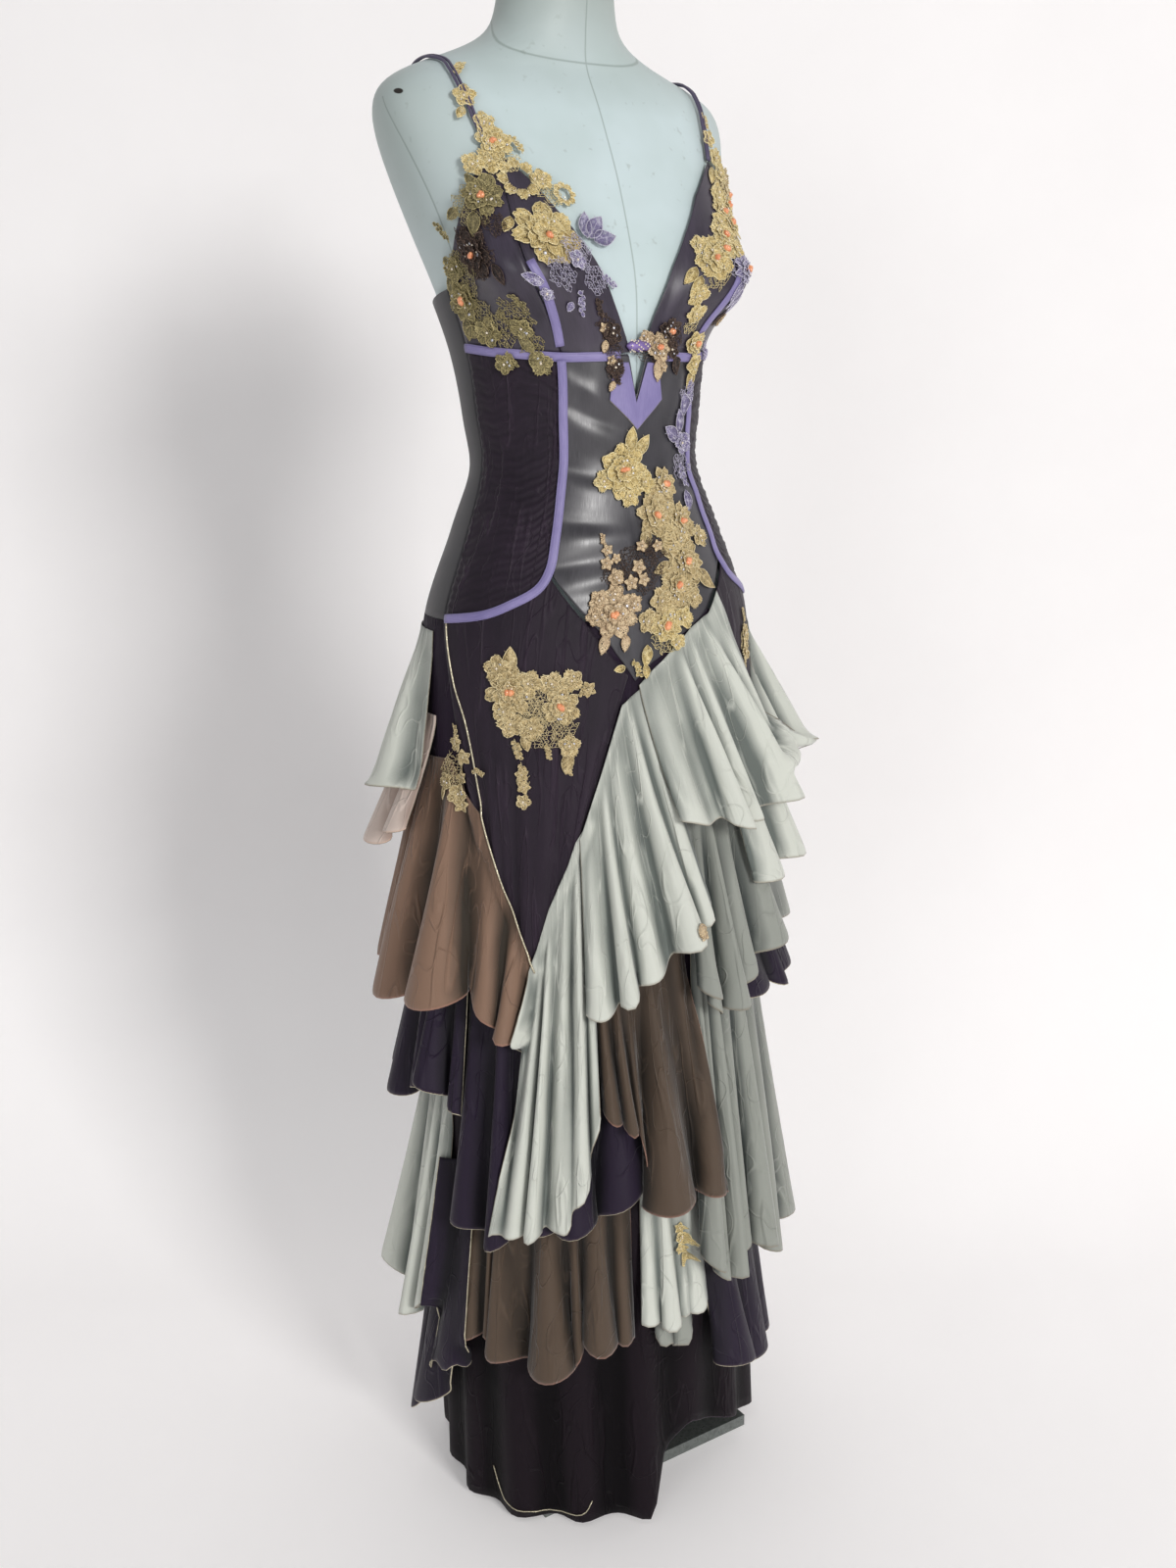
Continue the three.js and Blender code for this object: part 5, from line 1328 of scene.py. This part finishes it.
motifKinds = {"rose": roseMotif, "open": openMotif, "small": smallMotif, "leaf": leafMotif,
              "sprig": sprigMotif, "net": netMotif, "ring": ringMotif, "ground": groundMotif}
laceLooks = {  # the lace's finish and its slot
    "gold": ("laceGold", "lace_gold"), "beige": ("laceBeige", "lace_gold"),
    "olive": ("laceOlive", "lace_gold"), "peach": ("lacePeach", "lace_gold"),
    "lilac": ("laceLilac", "lace_lilac"), "dark": ("laceDark", "lace_dark"),
}
laces = {  # each motif: kind, angle, height, size, turn, and another thread colour where it has one
    "lace_strap_right": {"finish": "gold", "motifs": [
        ("sprig", -41, 1432, 9, 20), ("open", -38.2, 1414, 12, 20), ("leaf", -39.5, 1404, 9, 150),
        ("leaf", -36, 1396, 9, 215), ("open", -33.5, 1391, 11, 60), ("rose", -33, 1374, 17, 0),
        ("open", -37, 1357, 14, 40), ("net", -31, 1358, 13, 0), ("sprig", -25, 1364, 8, 10),
        ("ring", -29.2, 1342, 20, 0), ("open", -21.8, 1342, 11, 30), ("open", -43.5, 1354, 12, 0),
        ("net", -21, 1326, 12, 0), ("ring", -16.4, 1330, 11, 0), ("leaf", -35, 1308, 12, 160),
        ("rose", -25.5, 1294, 34, 0),
    ]},
    "lace_cup_right": {"finish": "olive", "motifs": [
        ("rose", -43.5, 1328, 20, 0), ("net", -50, 1318, 20, 0), ("leaf", -48.8, 1314, 16, 175),
        ("leaf", -57, 1318, 12, 130), ("net", -55, 1280, 26, 0, "dark"), ("net", -41, 1302, 13, 0, "dark"),
        ("rose", -55.5, 1278, 23, 0, "dark"), ("leaf", -46, 1268, 13, 200, "dark"), ("net", -70, 1262, 22, 0),
        ("open", -74, 1268, 14, 0), ("sprig", -70, 1290, 9, 20), ("leaf", -80, 1262, 14, 190),
        ("rose", -76, 1240, 19, 0), ("net", -68, 1228, 18, 0), ("leaf", -78, 1226, 14, 185),
        ("open", -66, 1212, 15, 10), ("net", -58, 1214, 18, 0), ("leaf", -70, 1216, 14, 110),
        ("net", -48, 1226, 19, 0), ("sprig", -42, 1230, 8, 15), ("open", -47, 1214, 12, 0),
        ("net", -45, 1202, 13, 0), ("leaf", -50, 1206, 12, 230), ("open", -60, 1184, 10, 0),
        ("sprig", -57, 1196, 7, 200), ("open", -42, 1184, 12, 0), ("leaf", -45, 1194, 12, 190),
    ]},
    "lace_cup_lilac_right": {"finish": "lilac", "motifs": [
        ("leaf", -13.4, 1292, 17, -4), ("leaf", -12.4, 1292, 19, -34), ("leaf", -11.4, 1290, 18, -70),
        ("net", -18, 1280, 17, 0), ("net", -25, 1260, 16, 0), ("net", -14.5, 1256, 15, 0),
        ("leaf", -31, 1252, 14, 80), ("sprig", -20, 1246, 10, 160), ("leaf", -24.4, 1236, 8, 150),
        ("open", -31.5, 1242, 7, 0), ("sprig", -12, 1262, 9, 230), ("open", -19, 1272, 10, 0),
    ]},
    "lace_dark_right": {"finish": "dark", "motifs": [
        ("sprig", -14, 1222, 8, 10), ("net", -12.5, 1216, 12, 0), ("open", -10.5, 1210, 11, 0),
        ("small", -13.5, 1214, 6, 0, "peach"), ("leaf", -13.6, 1204, 8, 170, "peach"),
        ("net", -11, 1196, 10, 0), ("open", -10.4, 1180, 10, 0), ("small", -12, 1186, 5, 0, "peach"),
        ("net", -10.2, 1172, 9, 0), ("sprig", -10, 1178, 6, 190), ("leaf", -11, 1168, 7, 160, "peach"),
    ]},
    "lace_dark_left": {"finish": "dark", "motifs": [
        ("net", 2, 1194, 9, 0), ("open", 3.5, 1205, 9, 20, "peach"), ("rose", 9, 1198, 13, 0, "peach"),
        ("net", 10, 1196, 15, 0), ("rose", 14, 1212, 12, 0), ("net", 16, 1205, 14, 0),
        ("open", 16, 1196, 9, 0), ("leaf", 8.5, 1188, 14, 190, "peach"), ("small", 12, 1180, 5, 0, "peach"),
        ("leaf", 18, 1190, 12, 210),
    ]},
    "lace_strap_left": {"finish": "gold", "motifs": [
        ("ground", 46, 1358, 14, 0, "beige"), ("ground", 42, 1334, 15, 0, "beige"),
        ("ground", 36, 1312, 14, 0, "beige"), ("open", 38, 1344, 12, 0), ("rose", 35.5, 1326, 14, 0),
        ("open", 31, 1314, 12, 0), ("rose", 28, 1288, 15, 0), ("sprig", 38, 1404, 8, -15),
        ("open", 38.2, 1396, 10, 0), ("leaf", 40, 1384, 11, 190), ("open", 41.2, 1378, 12, 0),
        ("leaf", 46, 1366, 12, 180), ("open", 50, 1360, 13, 0, "beige"), ("rose", 50.2, 1344, 14, 0, "beige"),
        ("leaf", 42, 1350, 15, 165), ("rose", 44, 1334, 16, 0), ("rose", 39, 1316, 18, 0),
        ("open", 47, 1350, 14, 0, "beige"), ("open", 36, 1338, 13, 0), ("net", 42, 1346, 18, 0),
        ("open", 43, 1364, 13, 0), ("leaf", 37, 1368, 13, 170), ("rose", 30, 1302, 16, 0),
        ("open", 33, 1290, 12, 0), ("net", 34, 1300, 17, 0), ("rose", 24, 1279, 23, 0),
        ("leaf", 18.5, 1270, 14, 150), ("open", 20.2, 1290, 11, 20), ("leaf", 20, 1262, 14, 165),
        ("net", 25, 1262, 14, 0), ("open", 20.5, 1244, 12, 0), ("leaf", 24, 1236, 11, 200),
        ("open", 22.5, 1228, 11, 0), ("net", 24, 1218, 10, 0), ("rose", 30.5, 1201, 13, 0),
        ("open", 31.6, 1183, 11, 0), ("leaf", 32, 1178, 12, 175), ("net", 34, 1272, 17, 0, "lilac"),
        ("rose", 35, 1270, 15, 0, "lilac"), ("leaf", 33, 1258, 13, 190, "lilac"),
        ("leaf", 37, 1252, 15, 170, "lilac"), ("leaf", 40, 1246, 14, 185, "lilac"),
        ("sprig", 40, 1232, 9, 150, "dark"), ("open", 43, 1224, 8, 0, "peach"),
        ("sprig", 42, 1206, 10, 180, "lilac"), ("leaf", 46, 1226, 13, -60, "lilac"),
        ("sprig", 31.5, 1170, 9, 180, "lilac"), ("net", 30, 1154, 11, 0, "lilac"),
    ]},
    "lace_centre": {"finish": "gold", "motifs": [
        ("ground", 9, 1060, 17, 0, "beige"), ("ground", 9, 1038, 20, 10, "beige"),
        ("ground", 13, 1014, 20, -10, "beige"), ("ground", 14, 990, 21, 0, "beige"),
        ("ground", 8, 968, 19, 10, "beige"), ("ground", 4, 948, 15, 0, "beige"), ("rose", -7.5, 1086, 26, 0),
        ("leaf", 0, 1100, 15, -25), ("leaf", -3.5, 1104, 15, 5), ("open", -17, 1078, 11, 0),
        ("open", -6, 1064, 12, 0), ("open", 2.2, 1076, 12, 0), ("rose", 13.5, 1074, 15, 0, "beige"),
        ("rose", 5.2, 1046, 21, 0, "beige"), ("leaf", 0, 1034, 15, 170, "beige"),
        ("leaf", 8, 1032, 15, 185, "beige"), ("rose", 17.5, 1038, 17, 0, "beige"),
        ("open", 25.5, 1022, 12, 0, "beige"), ("open", 14.2, 1022, 13, 0, "beige"),
        ("rose", 15, 1000, 21, 0, "beige"), ("leaf", 19, 990, 18, 235, "beige"),
        ("leaf", 8, 1000, 15, 120, "beige"), ("rose", 9, 978, 19, 0, "beige"),
        ("open", 2, 966, 14, 0, "beige"), ("open", 15, 966, 12, 0, "beige"), ("rose", 3, 942, 17, 0),
        ("open", 9.4, 948, 12, 0), ("open", -2.5, 948, 13, 0, "beige"), ("net", 2, 928, 14, 0),
        ("open", 6, 926, 9, 0), ("leaf", -3, 926, 14, 180), ("sprig", -7.4, 914, 8, 200),
        ("leaf", -4, 908, 9, 190), ("leaf", -10.4, 908, 8, 110), ("leaf", 27.4, 1120, 15, 25, "lilac"),
        ("leaf", 25.8, 1114, 16, 70, "lilac"), ("open", 28.5, 1110, 12, 0, "lilac"),
        ("net", 28, 1088, 15, 0, "lilac"), ("sprig", 27.6, 1092, 10, 180, "lilac"),
        ("leaf", 29.5, 1136, 14, 20, "lilac"), ("leaf", 26, 1066, 14, 175, "lilac"),
    ]},
    "lace_centre_side": {"finish": "peach", "motifs": [
        ("net", -4, 998, 24, 0, "dark"), ("net", -13, 994, 14, 0, "dark"), ("net", 2, 1014, 13, 0, "dark"),
        ("small", -15.8, 1016, 6, 0), ("small", -16, 1004, 7, 0), ("small", -12.4, 1008, 5, 0),
        ("open", -12.8, 991, 9, 0), ("small", -4.5, 999, 8, 0), ("small", -7.5, 985, 8, 0),
        ("small", -3, 987, 7, 0), ("small", 3, 1017, 6, 0), ("small", -3, 1018, 6, 0),
        ("rose", -13.5, 956, 22, 0), ("open", -20.2, 957, 10, 0), ("open", -18.8, 971, 11, 0),
        ("open", -13.4, 976, 11, 0), ("leaf", -16.5, 940, 13, 175), ("leaf", -10, 938, 11, 185),
        ("open", -7, 966, 10, 0), ("sprig", -17, 1020, 5, 12),
    ]},
    "lace_hip_right": {"finish": "beige", "motifs": [
        ("rose", -49.5, 890, 23, 0), ("leaf", -49, 908, 16, 12), ("open", -54.5, 912, 14, 0),
        ("open", -42.8, 898, 14, 0), ("net", -46, 872, 22, 0), ("rose", -31.5, 876, 18, 0),
        ("open", -34.5, 897, 13, 0), ("open", -27.8, 899, 12, 0), ("sprig", -26, 886, 6, -75),
        ("small", -22.5, 890, 8, 0), ("net", -38.5, 874, 17, 0), ("net", -37, 852, 17, 0),
        ("net", -31, 856, 14, 0), ("open", -49.5, 860, 14, 0), ("open", -42, 856, 13, 0),
        ("leaf", -45, 852, 12, 200), ("open", -29.4, 838, 12, 0), ("leaf", -30, 832, 14, 180),
        ("sprig", -30.2, 826, 7, 185), ("open", -52, 872, 12, 0), ("sprig", -48.5, 846, 9, 195),
        ("sprig", -46.4, 824, 9, 180), ("net", -46, 806, 8, 0), ("small", -46, 812, 7, 0),
        ("small", -45.6, 800, 7, 0), ("open", -45.8, 786, 8, 0), ("sprig", -37, 842, 7, 190),
    ]},
    "lace_hip_side": {"finish": "beige", "motifs": [
        ("sprig", -73, 838, 8, 10), ("open", -74, 838, 9, 0), ("small", -69.5, 826, 8, 0),
        ("net", -76, 812, 17, 0), ("small", -71, 806, 7, 0), ("open", -79, 800, 10, 0),
        ("open", -72, 790, 11, 0), ("small", -70, 780, 8, 0), ("sprig", -66, 814, 6, 260),
        ("leaf", -80, 796, 10, 180),
    ]},
    "lace_skirt_centre": {"finish": "gold", "isAdded": True, "motifs": [
        ("small", -1.5, 330, 6, 0), ("open", -1.2, 320, 7, 0), ("small", -2.0, 309, 6, 20),
        ("leaf", -0.6, 306, 8, 185), ("sprig", -1.6, 299, 4, 185), ("leaf", 0.4, 664, 9, 185, "peach"),
        ("small", 0.8, 652, 5, 0, "peach"),
    ]},
    "lace_hip_left": {"finish": "beige", "motifs": [
        ("sprig", 47, 930, 7, 0), ("open", 46, 920, 11, 0), ("open", 44, 902, 12, 0), ("net", 45, 910, 13, 0),
        ("leaf", 43, 894, 11, 180),
    ]},
}


def placeMotif(local, anchor, field, lift):
    angle0, height0, turn = anchor
    flat = turnFlat(local[..., 0], local[..., 1], local[..., 2], turn)
    angles, heights = np.array([angle0, angle0 + 1.0, angle0]), np.array([height0, height0, height0 + 4.0])
    here = figurePoints(angles, heights, 6)
    perDegree = np.linalg.norm(here[1] - here[0])
    slope = 4 / np.linalg.norm(here[2] - here[0])
    angle = angle0 + flat[..., 0] / perDegree
    height = height0 + flat[..., 1] * slope
    out = readMap(field, angle, height) + lift + flat[..., 2]
    return figurePoints(angle, height, out), angle, height, out


def thinFaces(m, n):  # a grid of m by n points, the same grid under it, and the rim between them
    count = m * n
    top = gridFaces(m, n)
    under = [[k + count for k in face[::-1]] for face in top]
    rim = list(range(n)) + [(i + 1) * n - 1 for i in range(1, m)]
    rim += [m * n - 1 - j for j in range(1, n)] + [(m - 1 - i) * n for i in range(1, m - 1)]
    sides = [[one, one + count, other + count, other] for one, other in zip(rim, rim[1:] + rim[:1])]
    return top + under + sides


beadStore = {"coral": [], "pearl": [], "sequin": []}
threadSize = {"sides": 3, "net": 0.3, "thick": 0.35}


def makeLace(name, lace, index):
    field = spreadMap(1, 3)
    heaps = {}
    marks = []
    for k, (kind, angle, height, size, turn, *extra) in enumerate(lace["motifs"]):
        heap = heaps.setdefault(extra[0] if extra else lace["finish"], Heap())
        motif = Motif(index * 100 + k)
        motifKinds[kind](motif, size)
        lift = 0.35 + 0.3 * (k % 3)
        anchor = (angle, height, math.radians(turn))
        for grid in motif.patches:
            upper, *mark = placeMotif(grid + [0, 0, threadSize["thick"]], anchor, field, lift)
            lower = placeMotif(grid, anchor, field, lift)[0]
            points = np.concatenate([upper.reshape(-1, 3), lower.reshape(-1, 3)])
            # The petal mark runs from 0 at the base to 0.42 at the tip, so the lace shader paints shade at
            # the petal bases.
            share = 0.42 * np.linspace(0, 1, grid.shape[0])[:, None] ** 1.5 * np.ones((1, grid.shape[1]))
            heap.add(points, thinFaces(*grid.shape[:2]), np.tile(share.ravel(), 2))
            marks.append([part.ravel() for part in mark])
        for line, radius in motif.cords:
            path = placeMotif(line, anchor, field, lift)[0]
            heap.add(*tubeAlong(path, radius, threadSize["sides"]), 1.0)
        if motif.nets:
            for line in placeMotif(np.array(motif.nets), anchor, field, lift)[0]:
                heap.add(*tubeAlong(line, threadSize["net"], threadSize["sides"]), 0.9)
        for kind, spot, bead in motif.beads:
            beadStore[kind].append((placeMotif(spot[None], anchor, field, lift)[0][0], bead))
    for a, z, out in marks:
        np.maximum.at(reached, mapCells(a, z), out)
    for look, heap in heaps.items():
        isMain = look == lace["finish"]
        thing = heap.build("gown_" + name if isMain else "gown_" + name + "_" + look)
        material, slotName = laceLooks[look]
        thing.data.materials.append(materials[material])
        wear(thing, name if isMain and not lace.get("isAdded") else None)


def makeBeads():
    rng = np.random.default_rng(12)
    for kind, spots in beadStore.items():
        bpy.ops.object.select_all(action="DESELECT")
        bpy.ops.mesh.primitive_ico_sphere_add(subdivisions=2 if kind == "coral" else 1, radius=1)
        ball = bpy.context.object
        points = np.array([v.co for v in ball.data.vertices])
        faces = [list(p.vertices) for p in ball.data.polygons]
        bpy.data.objects.remove(ball)
        heap = Heap()
        for spot, size in spots:
            shape = points * size
            if kind == "coral":
                grown = rng.uniform(0.75, 1.25, 3)
                shape = shape * grown * (1 + 0.12 * np.sin(points[:, :1] * 5 + rng.uniform(0, 6)))
            if kind == "sequin":
                away = spot - [0, 20, spot[2]]
                away = away / np.linalg.norm(away)
                shape = shape - 0.82 * np.outer(shape @ away, away)
            heap.add(shape + spot, faces)
        thing = heap.build("gown_beads_" + kind)
        thing.data.materials.append(materials[kind])
        wear(thing, None)


knotLook = {"scale": (1.35, 0.95, 0.9), "beads": 46, "turn": 2.4, "rows": 9, "bead": 0.9}


def makeKnot():
    low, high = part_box("cup_knot")
    middle = [(a + b) / 2 for a, b in zip(low, high)]
    bpy.ops.object.select_all(action="DESELECT")
    bpy.ops.mesh.primitive_uv_sphere_add(segments=28, ring_count=18, radius=0.5, location=middle)
    knot = bpy.context.object
    knot.name = "gown_cup_knot"
    knot.dimensions = [(b - a) * scale for a, b, scale in zip(low, high, knotLook["scale"])]
    bpy.ops.object.transform_apply(location=True, rotation=True, scale=True)
    for vertex in knot.data.vertices:
        x = (vertex.co.x - middle[0]) * 1000
        vertex.co.z = middle[2] + (vertex.co.z - middle[2]) * (0.8 + 0.12 * math.cos(x * 0.7))
    bpy.ops.object.shade_smooth()
    knot.data.materials.append(materials["beadedLilac"])
    wear(knot, "cup_knot")
    for k in range(knotLook["beads"]):
        turn, row = k * knotLook["turn"], (k % knotLook["rows"] - 4) / 4.5
        spot = np.array(middle) * 1000 + [row * 11.0, -3.6 * math.cos(turn) - 0.9, 5.2 * math.sin(turn)]
        if math.cos(turn) > -0.1:
            beadStore["pearl"].append((spot, knotLook["bead"]))


for index, (name, lace) in enumerate(laces.items()):
    makeLace(name, lace, index + 1)
makeKnot()
makeBeads()
print("lace and beads are sewn on")


# The dress form and its stand
def makeForm():
    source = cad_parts["form_torso"]
    shell = source.copy()
    shell.data = source.data.copy()
    shell.name = "dress_form_shell"
    scene.collection.objects.link(shell)
    shell.hide_render = shell.hide_viewport = False
    shell.parent = None
    select(shell)
    bpy.ops.object.mode_set(mode="EDIT")
    bpy.ops.mesh.select_all(action="SELECT")
    bpy.ops.mesh.remove_doubles(threshold=0.00002)
    bpy.ops.mesh.tris_convert_to_quads()
    bpy.ops.object.mode_set(mode="OBJECT")
    shell.data.materials.clear()
    shell.data.materials.append(materials["formShell"])
    rounded = shell.modifiers.new("rounded", "SUBSURF")
    rounded.levels = rounded.render_levels = 2
    applyAll(shell)
    bpy.ops.object.shade_smooth()
    wear(shell, "form_torso")
    for name in ("form_pole", "form_foot_plate"):
        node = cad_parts[name]
        node.data.materials.clear()
        node.data.materials.append(materials["standMetal"])


makeForm()
print("the dress form stands")

# The floor, which curves up into the backdrop behind the gown
sweep = {"near": 4.6, "flat": 0.28, "curve": 0.55, "wall": 3.4, "width": 9.0, "steps": 14}


def paleFloor(kit):  # it glows a little where it lies level, as a lit floor does
    values = plain(tint(242, 240, 240), tint(239, 237, 237), 3, (-4, 1), 0.0)(kit)
    normal = kit.node("ShaderNodeNewGeometry", {}, {}, "Normal")
    level = kit.axis(normal, 2)
    values["Emission Color"] = kit.mix(kit.ramp(level, 0.0, 1.0), tint(20, 20, 20), tint(116, 115, 115))
    return values


def layFloor():
    bpy.ops.object.select_all(action="DESELECT")
    bpy.ops.mesh.primitive_plane_add(size=1, location=(0, 0, 0))
    floor = bpy.context.object
    floor.name = "floor"
    depth = sweep["near"] + sweep["flat"]
    floor.dimensions = (sweep["width"], depth, 0)
    floor.location = (0, sweep["flat"] - depth / 2, -0.0005)
    bpy.ops.object.transform_apply(location=True, rotation=True, scale=True)
    for part in (floor.data.vertices, floor.data.edges, floor.data.polygons):
        part.foreach_set("select", [False] * len(part))
    for vertex in floor.data.vertices:
        vertex.select = vertex.co.y > 0
    for edge in floor.data.edges:
        edge.select = all(floor.data.vertices[k].select for k in edge.vertices)
    turns = np.linspace(0, math.pi / 2, sweep["steps"] + 1)
    ahead, rise = sweep["curve"] * np.sin(turns), sweep["curve"] * (1 - np.cos(turns))
    steps = [(0, a, z) for a, z in zip(np.diff(ahead), np.diff(rise))] + [(0, 0, sweep["wall"])]
    bpy.ops.object.mode_set(mode="EDIT")
    for step in steps:
        bpy.ops.mesh.extrude_region_move(TRANSFORM_OT_translate={"value": step})
    bpy.ops.object.mode_set(mode="OBJECT")
    floor.rotation_euler.z = math.radians(viewPoint["azimuth"])
    bpy.ops.object.transform_apply(location=True, rotation=True, scale=True)
    bpy.ops.object.shade_smooth()
    finish("paleFloor", paleFloor, {"Specular IOR Level": 0.0, "Emission Strength": 1.0})
    floor.data.materials.append(materials["paleFloor"])


layFloor()

# What each cloth sheet rests on: the form under the bodice, the underskirt under the rest, and the dress form
# shell under the underskirt
for key, piece in made.items():
    name = key.replace("gown_", "")
    word = name.split("_")[0]
    rests = ["form_torso"] if word in ("cup", "side", "back", "centre") else ["gown_underskirt"]
    if word == "underskirt":
        rests = ["dress_form_shell"]
print(len(made), "sheets are declared")
